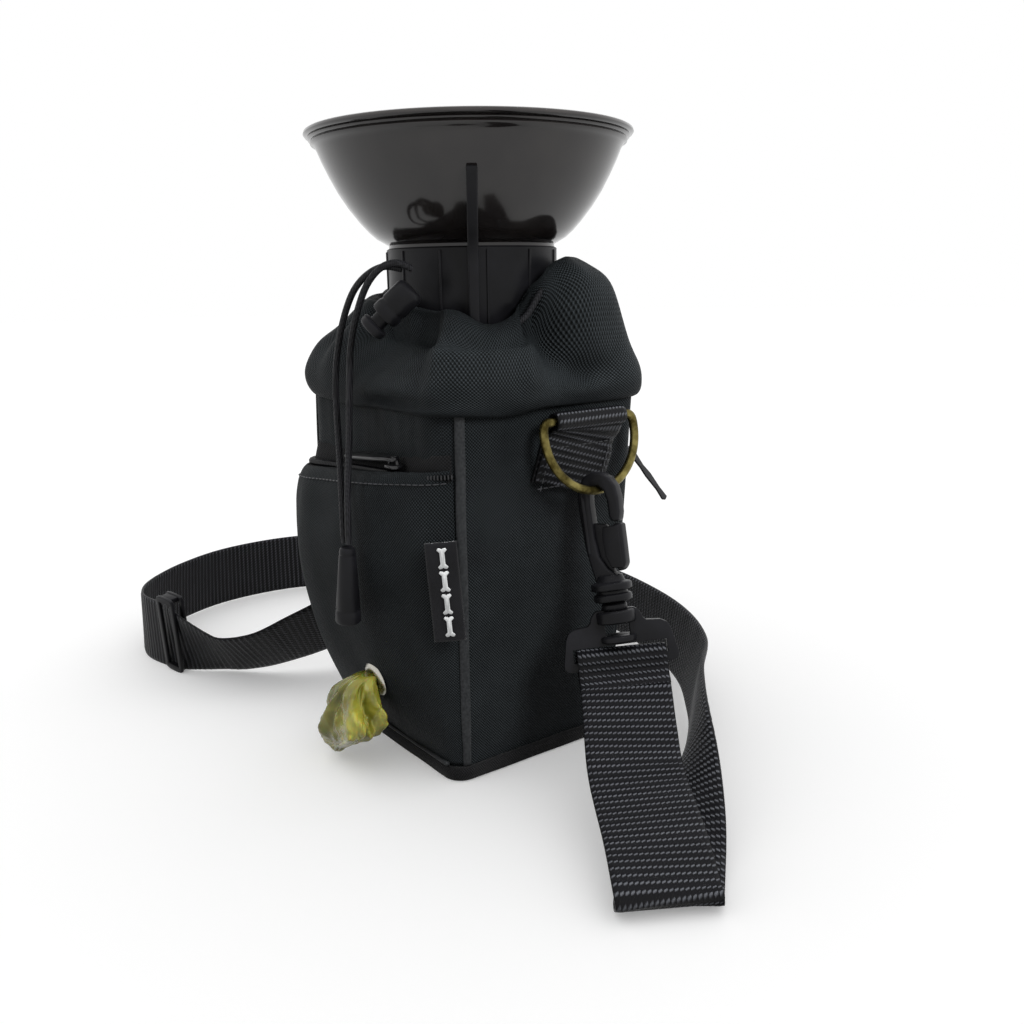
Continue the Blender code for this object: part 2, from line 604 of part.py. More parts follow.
def bowl():
    """The drinking bowl with a fin before and behind, and the threaded collar that it is pressed onto."""
    under = BOWL_FLOOR - 3.4 * MM
    outside = ((COLLAR_IN, under), (COLLAR_R, under), (COLLAR_R + 0.4 * MM, BOWL_FLOOR - 1 * MM),
               (COLLAR_R + 3.2 * MM, BOWL_FLOOR + 1.6 * MM),
               (47.4 * MM, 235.2 * MM), (53.4 * MM, 242 * MM), (59 * MM, 251 * MM), (63.6 * MM, 260.4 * MM),
               (67.6 * MM, 269.6 * MM), (BOWL_RIM_R, 270.4 * MM), (BOWL_RIM_R, BOWL_RIM - 0.6 * MM),
               (BOWL_RIM_R - 0.8 * MM, BOWL_RIM))
    inside = ((66.6 * MM, BOWL_RIM), (61.6 * MM, 261 * MM), (57 * MM, 251.6 * MM), (51.6 * MM, 243.4 * MM),
              (45.8 * MM, 237 * MM), (36 * MM, BOWL_FLOOR + 2.4 * MM), (10 * MM, BOWL_FLOOR),
              (2.2 * MM, BOWL_FLOOR), (2.2 * MM, under))
    shell = lathe("bowl", outside + inside, bowl_plastic(), 48)
    for side in (-1, 1):
        inner = COLLAR_R + GAP
        profile = ((inner, COLLAR_LOW), (FIN_REACH, COLLAR_LOW + 1 * MM), (FIN_REACH, 224 * MM), (47.5 * MM, 230 * MM),
                   (56.8 * MM, 242 * MM), (61.4 * MM, 250 * MM), (61.2 * MM, 254 * MM), (59 * MM, 252.6 * MM),
                   (46 * MM, 235.4 * MM), (inner, BOWL_FLOOR + 0.4 * MM))
        sides = [[Vector((x, side * r, z)) for r, z in profile] for x in (-FIN_THICK / 2, FIN_THICK / 2)]
        fin = loft(f"fin_tool_{side}", sides, bowl_plastic())
        fin.rotation_euler.z = radians(FIN_TURN)
        boolean(shell, fin, "UNION")
    ring_top = under - GAP
    lathe("bowl_collar", ((COLLAR_R, COLLAR_LOW), (COLLAR_R, ring_top), (COLLAR_IN, ring_top), (COLLAR_IN, COLLAR_LOW)),
          bowl_plastic(), 48)


def tab_and_ring(side, name):
    """The sewn webbing tab and the D-ring in its fold. side is +1 on +X and -1 on -X."""
    r_in, r_out = RING_WIRE + 0.5 * MM, RING_WIRE + 0.5 * MM + 2 * WEB_THICK
    centre = Vector((RING_OUT, 0, RING_BAR_Z))
    levels = []
    for y in (TAB_Y - WEB_WIDE / 2, TAB_Y + WEB_WIDE / 2):
        levels.append([Vector((side * p.x, y, p.z)) for p in tab_outline(centre, r_in, r_out)])
    loft(f"ring_tab_{name}", levels, webbing())
    ring_at = pivot(f"d_ring_{name}_axis", Vector((side * RING_OUT, TAB_Y, RING_BAR_Z)))
    ring_at.rotation_euler.y = -side * RING_TILT
    arc_top = -6 * MM
    drop = RING_DROP + arc_top
    path = [Vector((0, RING_HALF * cos(a), arc_top - drop * sin(a))) for a in [pi * k / 20 for k in range(21)]]
    path += [Vector((0, -RING_HALF + 0.6 * MM, -1.2 * MM)), Vector((0, -RING_HALF + 2 * MM, 0)),
             Vector((0, RING_HALF - 2 * MM, 0)), Vector((0, RING_HALF - 0.6 * MM, -1.2 * MM))]
    ring = tube(f"d_ring_{name}", path, RING_WIRE, antique_brass(), cyclic=True)
    ring.parent = ring_at


def tab_outline(centre, r_in, r_out):
    """A C round the ring's bar, whose tail runs down the wall."""
    steps = 10
    wall_top, wall_low = body_size(146 * MM)[0].x + GAP, body_size(127 * MM)[0].x + GAP
    outer = [centre + Vector((r_out * cos(a), 0, r_out * sin(a)))
             for a in [radians(-75 + 200 * k / steps) for k in range(steps + 1)]]
    inner = [centre + Vector((r_in * cos(a), 0, r_in * sin(a)))
             for a in [radians(-75 + 250 * k / steps) for k in range(steps + 1)]]
    tail = [Vector((wall_top, 0, 147.5 * MM)), Vector((wall_low, 0, 127 * MM)),
            Vector((wall_low + 3 * MM, 0, 127 * MM)), Vector((wall_top + 3.2 * MM, 0, 147 * MM))]
    return outer + tail + inner[::-1]


def hook_frame(side, flat):
    """The rest frame on the hook's swivel: X across the flat, Z along the hook, from the plate's middle."""
    along = Vector((side * HOOK_LEAN.x, HOOK_LEAN.y, HOOK_LEAN.z))
    flat = Vector((side * flat.x, flat.y, 0))
    across = (flat - along * flat.dot(along)).normalized()
    if side < 0:
        across = -across
    turn = Matrix((across, along.cross(across), along)).transposed().to_quaternion()
    bottom = Vector((side * (RING_OUT + RING_DROP * sin(RING_TILT)), TAB_Y, RING_BAR_Z - RING_DROP * cos(RING_TILT)))
    foot = bottom - along * HOOK_EYE
    return foot, turn


def hook(side, name):
    frame = pivot(f"hook_{name}_axis", *hook_frame(side, HOOK_FLAT))
    route = ((0, 20), (-1.5, 25), (-5.6, 33), (-6.8, 45), (-6.8, 57.5), (-5.8, 61.5), (-3.4, 64.6), (0, 65.8),
             (3.4, 64.6), (5.8, 61.5), (6.8, 57.5), (6.8, 48))
    rod = as_mesh(tube(f"hook_rod_{name}", [Vector((x, 0, z)) * MM for x, z in route], HOOK_ROD, hook_plastic()))
    rod.parent = frame
    barrel = lathe(f"hook_body_{name}", ((0, 12.6 * MM), (6.4 * MM, 12.6 * MM), (7.8 * MM, 14 * MM), (7.8 * MM, 15.6 * MM),
                                         (6.4 * MM, 16.6 * MM), (8.2 * MM, 17.8 * MM), (8.2 * MM, 20 * MM),
                                         (6.4 * MM, 22 * MM), (0, 22 * MM)), hook_plastic(), 20)
    barrel.parent = frame
    boolean(barrel, rod, "UNION")
    pin = lathe(f"swivel_pin_{name}", ((0, 8.6 * MM), (5.4 * MM, 8.6 * MM), (5.4 * MM, 11.2 * MM), (4.2 * MM, 12.2 * MM),
                                       (0, 12.2 * MM)), hook_plastic(), 20)
    pin.parent = frame
    gate_pin = pivot(f"hook_gate_{name}_pin", Vector((5.6, 0, 27.4)) * MM)
    gate_pin.parent = frame
    gate = tube(f"hook_gate_{name}", [Vector((0, 0, 0)), Vector((1.1, 0, 8)) * MM, Vector((1.2, 0, 17.6)) * MM],
                2.2 * MM, hook_plastic())
    gate.parent = gate_pin
    plate(f"hook_plate_{name}", pivot(f"plate_{name}_axis", *hook_frame(side, PLATE_FLAT)))


def plate(name, frame):
    """The strap loop below the swivel: a plate with a slot for the webbing and a boss for the swivel pin."""
    obj = block(name, (PLATE_WIDE, PLATE_THICK, PLATE_HIGH - PLATE_LOW), hook_plastic(), 1.2 * MM)
    obj.parent, obj.location = frame, (0, 0, (PLATE_HIGH + PLATE_LOW) / 2)
    slot = block(name + "_slot", (WEB_WIDE + 2 * MM, 20 * MM, SLOT_HIGH - SLOT_LOW), hook_plastic())
    slot.parent, slot.location = frame, (0, 0, (SLOT_HIGH + SLOT_LOW) / 2)
    boolean(obj, slot, "DIFFERENCE")


def strap_frames():
    """(middle, along, across) at each point of the strap's smooth route, lifted where an edge would reach the floor."""
    middles = smooth_route([p for p, _ in STRAP])
    widths = smooth_route([w for _, w in STRAP])
    frames = []
    for index, (middle, width) in enumerate(zip(middles, widths)):
        before, after = middles[max(index - 1, 0)], middles[min(index + 1, len(middles) - 1)]
        along = (after - before).normalized()
        across = (width - along * width.dot(along)).normalized()
        reach = abs(across.z) * WEB_WIDE / 2 + abs(along.cross(across).z) * WEB_THICK / 2
        frames.append((Vector((middle.x * MM, middle.y * MM, max(middle.z * MM, reach + GAP))), along, across))
    return frames


def strap():
    """One length of webbing from plate to plate, as a flat band along its route."""
    rings = []
    for middle, along, across in strap_frames():
        face = along.cross(across)
        corners = ((-1, -1), (1, -1), (1, 1), (-1, 1))
        rings.append([middle + across * (u * WEB_WIDE / 2) + face * (v * WEB_THICK / 2) for u, v in corners])
    loft("shoulder_strap", rings, webbing())


def tri_glide():
    """The strap adjuster, a frame round the webbing near the left loop, with X along the strap."""
    at, along, across = strap_frames()[GLIDE_STATION]
    turn = Matrix((along, across.cross(along), across)).transposed().to_quaternion()
    slide = pivot("tri_glide_slide", at, turn)
    frame = block("tri_glide", (15 * MM, 8.4 * MM, 46 * MM), hook_plastic(), 1 * MM)
    hole = block("tri_glide_slot", (30 * MM, 5.6 * MM, 39.2 * MM), hook_plastic())
    for obj in (frame, hole):
        obj.parent = slide
    frame.location.z = 4 * MM
    boolean(frame, hole, "DIFFERENCE")


def drawcord():
    """The loop in the cuff's channel, the two tails, the cord lock and the cord end."""
    z, r = (CHANNEL_LOW + CHANNEL_HIGH) / 2, CUFF_HOLE + CORD_R - 0.2 * MM
    start, turns = radians(-70), 40
    loop = [(r * cos(start + 2 * pi * k / turns), r * sin(start + 2 * pi * k / turns), z) for k in range(turns)]
    tube("drawcord_loop", loop, CORD_R, cord_cover(), cyclic=True)
    for name, route in (("drawcord_tail_left", TAIL_LEFT), ("drawcord_tail_right", TAIL_RIGHT)):
        tube(name, smooth_route([Vector(p) * MM for p in route]), CORD_R, cord_cover())
    cord_lock()
    end = lathe("cord_end", ((0, 0), (3.3 * MM, 0), (3.7 * MM, -4 * MM), (5.4 * MM, -CORD_END_LONG), (0, -CORD_END_LONG)),
                hook_plastic(), 20)
    end.location = CORD_END_TOP
    end.rotation_euler.y = CORD_END_LEAN


def cord_lock():
    axis = (LOCK_TAIL - LOCK_END).normalized()
    long = (LOCK_TAIL - LOCK_END).length
    frame = pivot("cord_lock_axis", LOCK_END, Vector((0, 0, 1)).rotation_difference(axis))
    barrel = lathe("cord_lock_barrel", ((3.6 * MM, 8 * MM), (LOCK_R, 8 * MM), (LOCK_R, long - 1 * MM),
                                        (LOCK_R - 1 * MM, long), (0, long), (0, long - 2 * MM), (3.6 * MM, long - 2 * MM)),
                   hook_plastic(), 24)
    button = lathe("cord_lock_button", ((0, 0), (LOCK_R - 0.8 * MM, 0), (LOCK_R - 0.2 * MM, 0.8 * MM),
                                        (LOCK_R - 0.2 * MM, 3.4 * MM), (3.1 * MM, 3.4 * MM), (3.1 * MM, 8.6 * MM),
                                        (0, 8.6 * MM)), hook_plastic(), 24)
    spring_low, spring_high = 13.2 * MM, long - 2.4 * MM
    spring = lathe("cord_lock_spring", ((1.8 * MM, spring_low), (2.9 * MM, spring_low), (2.9 * MM, spring_high),
                                        (1.8 * MM, spring_high)), spring_steel(), 16)
    for obj in (barrel, button, spring):
        obj.parent = frame


def main():
    clear_scene()
    walls()
    base_binding()
    lining()
    corner_piping()
    cuff()
    pocket()
    bag_parts()
    zipper()
    rear_pocket()
    woven_label()
    belt_loop()
    bottle()
    bowl()
    for side, name in ((1, "right"), (-1, "left")):
        tab_and_ring(side, name)
        hook(side, name)
    strap()
    tri_glide()
    drawcord()


main()
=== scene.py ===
"""Walking pouch with a squeeze-up drinking bottle: the looks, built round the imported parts."""

from math import cos, exp, pi, radians, sin

import bmesh
import bpy
from mathutils import Matrix, Vector, noise


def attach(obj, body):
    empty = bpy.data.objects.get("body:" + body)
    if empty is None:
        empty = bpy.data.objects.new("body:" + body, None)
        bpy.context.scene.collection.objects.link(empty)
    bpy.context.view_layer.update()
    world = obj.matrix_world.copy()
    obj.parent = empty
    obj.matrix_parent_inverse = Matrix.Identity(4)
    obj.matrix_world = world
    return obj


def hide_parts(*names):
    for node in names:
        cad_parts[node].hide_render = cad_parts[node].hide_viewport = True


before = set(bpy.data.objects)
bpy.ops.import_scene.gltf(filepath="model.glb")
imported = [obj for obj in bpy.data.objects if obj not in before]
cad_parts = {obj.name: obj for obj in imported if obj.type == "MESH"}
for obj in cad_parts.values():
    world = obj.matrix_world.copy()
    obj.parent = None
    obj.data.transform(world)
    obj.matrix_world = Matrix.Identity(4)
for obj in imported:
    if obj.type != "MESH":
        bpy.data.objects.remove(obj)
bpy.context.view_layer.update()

MM = 0.001

# Camera: place, the way it looks, and its lens
EYE = Vector((0.3769, -0.2600, 0.2135))
EYE_YAW, EYE_PITCH, EYE_ROLL = radians(143.4), radians(13.3), radians(0.9)
LENS = 34.98

# Pouch body
BASE_HALF, TOP_HALF = Vector((46, 46)) * MM, Vector((54, 55)) * MM
BASE_CORNER, TOP_CORNER = 7 * MM, 12 * MM
BODY_TOP = 164 * MM
BINDING_HIGH = 7 * MM
POCKET_PROFILE = ((8.2, 1.2), (12, 3.0), (20, 7.0), (40, 13.2), (60, 17.0), (90, 18.8), (115, 17.6),
                  (126, 14.6), (131.5, 11.0), (133.2, 8.4))
POCKET_ACROSS = ((0, 0.0), (0.012, 0.22), (0.03, 0.50), (0.07, 0.80), (0.14, 0.98), (0.36, 1.06),
                 (0.58, 1.0), (0.72, 0.80), (0.84, 0.48), (0.93, 0.18), (1.0, 0.0))
POCKET_LEFT, POCKET_SPAN = 0.7515, 0.258  # shares of the pouch's outline
EYELET_AT = Vector((7, -60.47, 40.5)) * MM
EYELET_AXIS = Vector((0.0, -0.9764, -0.216))

# Straps and rings
WEB_WIDE, WEB_THICK = 38 * MM, 1.7 * MM
RIB_LONG, RIB_WIDE, RIB_DEEP = 3.0 * MM, 1.9 * MM, 0.26 * MM
TAB_Y = 16 * MM
PLATE_BAR, TURN_REACH = 11.6 * MM, 4.3 * MM
RING_WIRE, RING_HALF, RING_BAR_Z = 1.9 * MM, 25 * MM, 154.8 * MM
RING_DROP, RING_OUT, RING_TILT = 30.6 * MM, 60.6 * MM, radians(12)
HOOK_LEAN = Vector((-15.7, 2.6, 58.4)).normalized()
HOOK_FLAT, PLATE_FLAT = Vector((0.93, 0.37, 0)), Vector((0.6, 0.8, 0))
HOOK_EYE = 60.4 * MM
GLIDE_STATION = 146

# Bowl, back pocket and label
FIN_TURN = -34.0
BACK_WIDE, BACK_ZIP_Z = 84 * MM, 133 * MM
LABEL_Z = 90 * MM

# Cords
CORD_R = 1.4 * MM
LOCK_END, LOCK_TAIL = Vector((21.5, -65.2, 193.5)) * MM, Vector((32.5, -51.4, 209.5)) * MM
CORD_END_TOP, CORD_END_LONG, CORD_END_LEAN = Vector((15.7, -77.2, 105)) * MM, 33 * MM, radians(5)
TAIL_LEFT = ((28.2, -53.2, 217.2), (23.4, -58.2, 218.2), (16.9, -62.3, 215.3), (9, -64.6, 209),
             (1.3, -65.4, 199), (-5, -65.6, 187), (-8.5, -65.8, 175), (-8.5, -66.4, 161), (-3.5, -68.8, 147),
             (3.5, -72.3, 135), (9.5, -75.4, 123), (12.5, -77, 112), (13.5, -77.2, 106.7))
TAIL_RIGHT = ((32, -50.8, 217.2), (29.5, -56, 219.4), (25, -60.6, 217.8), (18.5, -63.9, 211),
              (11.5, -65.3, 199.5), (6, -65.6, 187.5), (4, -65.8, 176), (3.6, -66.6, 162), (7, -69.3, 147.5),
              (11.5, -73, 134), (15.5, -76, 121), (17.3, -77.2, 111), (17.7, -77.3, 107))

# Shoulder strap: middle of the webbing, and the way its width points, at each station
STRAP = (((86.0, 12.8, 54.0), (0.60, 0.80, 0.00)), ((93.5, 8.4, 45.6), (0.57, 0.82, 0.02)),
         ((105.0, 0.0, 34.8), (0.50, 0.86, 0.05)), ((121.0, -11.5, 24.0), (0.45, 0.88, 0.06)),
         ((148.0, -28.0, 16.0), (0.46, 0.89, 0.04)), ((162.5, -37.5, 11.0), (0.48, 0.88, 0.00)),
         ((168.5, -41.0, 6.5), (0.50, 0.87, 0.00)), ((163.5, -36.5, 2.4), (0.52, 0.86, 0.02)),
         ((147.0, -17.0, 4.6), (0.66, 0.74, 0.14)), ((126.0, 9.0, 11.8), (0.52, 0.55, 0.62)),
         ((104.0, 38.0, 18.6), (0.24, 0.18, 0.95)), ((80.0, 66.0, 19.6), (0.08, 0.12, 0.99)),
         ((58.0, 90.0, 19.6), (0.12, 0.20, 0.97)), ((28.0, 112.0, 19.6), (0.04, 0.16, 0.98)),
         ((-10.0, 128.0, 19.6), (0.00, 0.08, 1.00)), ((-60.0, 138.0, 19.6), (0.00, 0.00, 1.00)),
         ((-120.0, 134.0, 19.6), (0.02, -0.02, 1.00)), ((-180.0, 112.0, 19.6), (0.04, -0.04, 1.00)),
         ((-230.0, 72.0, 19.6), (0.05, -0.03, 1.00)), ((-258.0, 22.0, 19.6), (0.06, 0.00, 1.00)),
         ((-260.0, -26.0, 19.6), (0.08, 0.02, 1.00)), ((-244.0, -64.0, 19.6), (0.12, 0.02, 0.99)),
         ((-220.0, -92.0, 19.4), (0.16, 0.00, 0.99)), ((-194.0, -104.0, 19.4), (0.10, 0.00, 1.00)),
         ((-166.0, -100.0, 19.4), (0.05, -0.04, 1.00)), ((-146.0, -93.0, 17.0), (0.34, -0.25, 0.90)),
         ((-129.0, -81.0, 15.0), (0.54, -0.41, 0.74)), ((-114.0, -66.0, 18.0), (0.54, -0.42, 0.74)),
         ((-104.0, -48.0, 25.0), (0.42, -0.39, 0.82)), ((-98.0, -28.0, 32.0), (0.34, -0.40, 0.85)),
         ((-96.0, -9.0, 38.5), (0.36, -0.52, 0.77)), ((-91.5, 4.5, 45.5), (0.58, -0.80, 0.12)),
         ((-86.0, 12.8, 54.0), (0.60, -0.80, 0.00)))


# ---------------------------------------------------------------- materials

def linear(code):
    """An sRGB hex colour as linear RGBA."""
    channels = [int(code[k:k + 2], 16) / 255 for k in (0, 2, 4)]
    return tuple(c / 12.92 if c <= 0.04045 else ((c + 0.055) / 1.055) ** 2.4 for c in channels) + (1.0,)


def add(tree, kind, values=None, links=None, **settings):
    """Adds a node, sets its properties, its input values, and its input links."""
    node = tree.nodes.new(kind)
    for name, value in settings.items():
        setattr(node, name, value)
    for key, value in (values or {}).items():
        node.inputs[key].default_value = value
    for key, source in (links or {}).items():
        tree.links.new(source, node.inputs[key])
    return node


def new_material(name, **sockets):
    mat = bpy.data.materials.new(name)
    mat.use_nodes = True
    shader = mat.node_tree.nodes["Principled BSDF"]
    for key, value in sockets.items():
        shader.inputs[key.replace("_", " ")].default_value = value
    return mat, mat.node_tree, shader


def join_bump(tree, shader, height, distance, strength=1.0):
    bump = add(tree, "ShaderNodeBump", {"Distance": distance, "Strength": strength}, {"Height": height})
    tree.links.new(bump.outputs["Normal"], shader.inputs["Normal"])


def crossing_waves(tree, source, along, across):
    """sin(x) sin(y) over the two directions of a map in metres: the ups and downs of crossing threads."""
    place = add(tree, "ShaderNodeSeparateXYZ", None, {0: source})
    waves = []
    for axis, pitch in (("X", across), ("Y", along)):
        turned = add(tree, "ShaderNodeMath", {1: 2 * pi / pitch}, {0: place.outputs[axis]},
                     operation="MULTIPLY")
        waves.append(add(tree, "ShaderNodeMath", None, {0: turned.outputs[0]}, operation="SINE"))
    return add(tree, "ShaderNodeMath", None, {0: waves[0].outputs[0], 1: waves[1].outputs[0]},
               operation="MULTIPLY")


def spread(tree, value, low, high, colour_low, colour_high):
    """A colour that runs from one to the other as a value goes from low to high."""
    mixed = add(tree, "ShaderNodeMapRange", {1: low, 2: high}, {0: value})
    return add(tree, "ShaderNodeMix", {6: linear(colour_low), 7: linear(colour_high)}, {0: mixed.outputs[0]},
               data_type="RGBA")


def woven(name, dark, light, pitch, deep, roughness, sheen, patch=0.35):
    """A plain weave on the piece's own UV map in metres, with slow uneven wear in its tone. Its colour
    follows the weave's height: raised thread crests are painted lighter (painted highlight) and the hollows
    darker (painted shade).
    """
    mat, tree, shader = new_material(name, Sheen_Weight=sheen, Sheen_Roughness=0.45, Specular_IOR_Level=0.06,
                                     Roughness=roughness)
    cloth_map = add(tree, "ShaderNodeUVMap")
    threads = crossing_waves(tree, cloth_map.outputs[0], pitch, pitch)
    # Painted highlight and shade: the thread crests get the light colour and the hollows the dark one.
    colour = spread(tree, threads.outputs[0], -0.7, 0.9, dark, light)
    place = add(tree, "ShaderNodeTexCoord")
    wear = add(tree, "ShaderNodeTexNoise", {"Scale": 38, "Detail": 3, "Roughness": 0.6},
               {"Vector": place.outputs["Object"]})
    shade = add(tree, "ShaderNodeMapRange", {1: 0.3, 2: 0.7, 3: 1 - patch, 4: 1 + patch},
                {0: wear.outputs[0]})
    toned = add(tree, "ShaderNodeVectorMath", None, {0: colour.outputs[2], 1: shade.outputs[0]},
                operation="MULTIPLY")
    tree.links.new(toned.outputs[0], shader.inputs["Base Color"])
    join_bump(tree, shader, threads.outputs[0], deep)
    return mat


def oxford_polyester():
    """600-denier polyester Oxford: matt charcoal, its crossing threads just showing as fine pips of light,
    shaded by their bump and with painted highlight on their crests.
    Real threads are 0.5 mm apart; they are drawn 0.7 mm apart so that they show."""
    return woven("oxford_polyester", "060707", "1e2123", 1.4 * MM, 0.34 * MM, 0.55, 0.0, 0.22)


def nylon_lining():
    """Plain black nylon lining: finer, darker and smoother than the outside cloth."""
    return woven("nylon_lining", "070708", "131314", 1.0 * MM, 0.1 * MM, 0.6, 0.02)


def grosgrain_tape():
    """Black polyester binding tape: dull, with close cross ribs."""
    return woven("grosgrain_tape", "060606", "141415", 1.2 * MM, 0.2 * MM, 0.7, 0.02)


def reflective_tape():
    """Grey coated piping tape: smooth, and a clear tone lighter than the cloth beside it."""
    mat, tree, shader = new_material("reflective_tape", Roughness=0.5, Specular_IOR_Level=0.1)
    place = add(tree, "ShaderNodeTexCoord")
    grain = add(tree, "ShaderNodeTexNoise", {"Scale": 900, "Detail": 2}, {"Vector": place.outputs["Object"]})
    colour = spread(tree, grain.outputs[0], 0.3, 0.7, "141516", "202122")
    tree.links.new(colour.outputs[2], shader.inputs["Base Color"])
    join_bump(tree, shader, grain.outputs[0], 0.08 * MM, 0.5)
    return mat


def rib_dashes(tree, source):
    """Rows of short slanting floats across the webbing, 0 between them and 1 on their tops: their height, and
    the mask for the painted highlight on the tops.
    """
    def step(kind, a, b=None):
        links = {0: a} if not hasattr(b, "default_value") else {0: a, 1: b}
        values = {} if b is None or hasattr(b, "default_value") else {1: b}
        return add(tree, "ShaderNodeMath", values, links, operation=kind).outputs[0]
    place = add(tree, "ShaderNodeSeparateXYZ", None, {0: source})
    share = step("FRACT", step("MULTIPLY", place.outputs["X"], 1 / RIB_WIDE))
    slant = step("ADD", step("MULTIPLY", place.outputs["Y"], 2 * pi / RIB_LONG),
                 step("MULTIPLY", share, 0.30 * 2 * pi))
    row = step("POWER", step("MULTIPLY", step("ADD", step("COSINE", slant), 1.0), 0.5), 2.2)
    between = step("POWER", step("ABSOLUTE", step("SUBTRACT", step("MULTIPLY", share, 2.0), 1.0)), 5.0)
    return add(tree, "ShaderNodeMath", None,
               {0: row, 1: step("SUBTRACT", step("MULTIPLY", between, -1.0), -1.0)},
               operation="MULTIPLY")


def polypropylene_webbing():
    """Polypropylene webbing: black, its raised floats' tops given a painted highlight, dark in between."""
    mat, tree, shader = new_material("polypropylene_webbing", Roughness=0.4, Specular_IOR_Level=0.12)
    web_map = add(tree, "ShaderNodeUVMap")
    floats = rib_dashes(tree, web_map.outputs[0])
    # Painted highlight: the tops of the floats get the light colour, as if catching the lamp.
    colour = spread(tree, floats.outputs[0], 0.35, 1.0, "050506", "2d2e31")
    tree.links.new(colour.outputs[2], shader.inputs["Base Color"])
    strands = crossing_waves(tree, web_map.outputs[0], 40 * MM, 0.5 * MM)
    both = add(tree, "ShaderNodeMath", {1: 0.15}, {0: strands.outputs[0], 2: floats.outputs[0]},
               operation="MULTIPLY_ADD")
    join_bump(tree, shader, both.outputs[0], 0.45 * MM)
    return mat


def moulded(name, dark, light, roughness, bump, scale, **more):
    """A moulded plastic whose tone and gloss wander a little."""
    mat, tree, shader = new_material(name, **more)
    place = add(tree, "ShaderNodeTexCoord")
    cloud = add(tree, "ShaderNodeTexNoise", {"Scale": 60, "Detail": 4}, {"Vector": place.outputs["Object"]})
    colour = spread(tree, cloud.outputs[0], 0.3, 0.7, dark, light)
    tree.links.new(colour.outputs[2], shader.inputs["Base Color"])
    gloss = add(tree, "ShaderNodeMapRange", {1: 0.3, 2: 0.7, 3: roughness * 0.8, 4: roughness * 1.25},
                {0: cloud.outputs[0]})
    tree.links.new(gloss.outputs[0], shader.inputs["Roughness"])
    grain = add(tree, "ShaderNodeTexNoise", {"Scale": scale, "Detail": 2},
                {"Vector": place.outputs["Object"]})
    join_bump(tree, shader, grain.outputs[0], bump)
    return mat


def acetal():
    """Moulded acetal hooks: black with a faint eggshell grain, edges catching a soft light."""
    return moulded("acetal", "060607", "0d0d0f", 0.36, 0.03 * MM, 1600, Specular_IOR_Level=0.14)


def glossy_polypropylene():
    """The bowl's polished polypropylene: near-black, smooth, so it shows the room as soft grey shapes."""
    return moulded("glossy_polypropylene", "0d0b0b", "141211", 0.12, 0.004 * MM, 400, Coat_Weight=0.1,
                   Coat_Roughness=0.06,
                    Specular_IOR_Level=0.42)


def satin_polyethylene():
    """The squeeze bottle: black, satin, slightly waxy."""
    return moulded("satin_polyethylene", "0c0c0d", "161618", 0.32, 0.02 * MM, 900)


def silicone_rubber():
    """The seal: milky silicone, dull and soft."""
    return moulded("silicone_rubber", "b4b4b0", "c8c8c4", 0.5, 0.02 * MM, 500, Subsurface_Weight=0.2)


def antique_brass():
    """Antiqued brass wire: dull yellow, darker in its hollows and rubbed bright in spots."""
    mat, tree, shader = new_material("antique_brass", Metallic=1.0)
    place = add(tree, "ShaderNodeTexCoord")
    tarnish = add(tree, "ShaderNodeTexNoise", {"Scale": 150, "Detail": 5, "Roughness": 0.6},
                  {"Vector": place.outputs["Object"]})
    colour = spread(tree, tarnish.outputs[0], 0.36, 0.68, "40381a", "8f8450")
    tree.links.new(colour.outputs[2], shader.inputs["Base Color"])
    gloss = add(tree, "ShaderNodeMapRange", {1: 0.3, 2: 0.7, 3: 0.5, 4: 0.28}, {0: tarnish.outputs[0]})
    tree.links.new(gloss.outputs[0], shader.inputs["Roughness"])
    join_bump(tree, shader, tarnish.outputs[0], 0.04 * MM)
    return mat


def nickel_plate():
    """Nickel-plated brass eyelet: pale, bright, with fine handling marks."""
    mat, tree, shader = new_material("nickel_plate", Metallic=1.0, Base_Color=linear("b9b6ad"))
    place = add(tree, "ShaderNodeTexCoord")
    marks = add(tree, "ShaderNodeTexNoise", {"Scale": 700, "Detail": 4}, {"Vector": place.outputs["Object"]})
    gloss = add(tree, "ShaderNodeMapRange", {1: 0.3, 2: 0.7, 3: 0.2, 4: 0.42}, {0: marks.outputs[0]})
    tree.links.new(gloss.outputs[0], shader.inputs["Roughness"])
    return mat


def nylon_coil():
    """Zip coil and its enamelled slider: black with small hard glints."""
    return moulded("nylon_coil", "060607", "0c0c0e", 0.3, 0.02 * MM, 1500)


def braided_cord():
    """Elastic cord in a braided polyester cover: black, with a slanting braid that breaks up its shine; the
    braid's crests are painted lighter (painted highlight) over a random fibre tone.
    """
    mat, tree, shader = new_material("braided_cord", Roughness=0.48, Specular_IOR_Level=0.15)
    place = add(tree, "ShaderNodeTexCoord")
    braid = crossing_waves(tree, place.outputs["Object"], 1.1 * MM, 1.1 * MM)
    fine = add(tree, "ShaderNodeTexNoise", {"Scale": 1400, "Detail": 2}, {"Vector": place.outputs["Object"]})
    both = add(tree, "ShaderNodeMath", {1: 0.6}, {0: fine.outputs[0], 2: braid.outputs[0]},
               operation="MULTIPLY_ADD")
    # Painted highlight: lighter where the braid rises, mixed with a random fibre tone.
    colour = spread(tree, both.outputs[0], -0.5, 1.0, "040405", "151517")
    tree.links.new(colour.outputs[2], shader.inputs["Base Color"])
    join_bump(tree, shader, both.outputs[0], 0.12 * MM)
    return mat


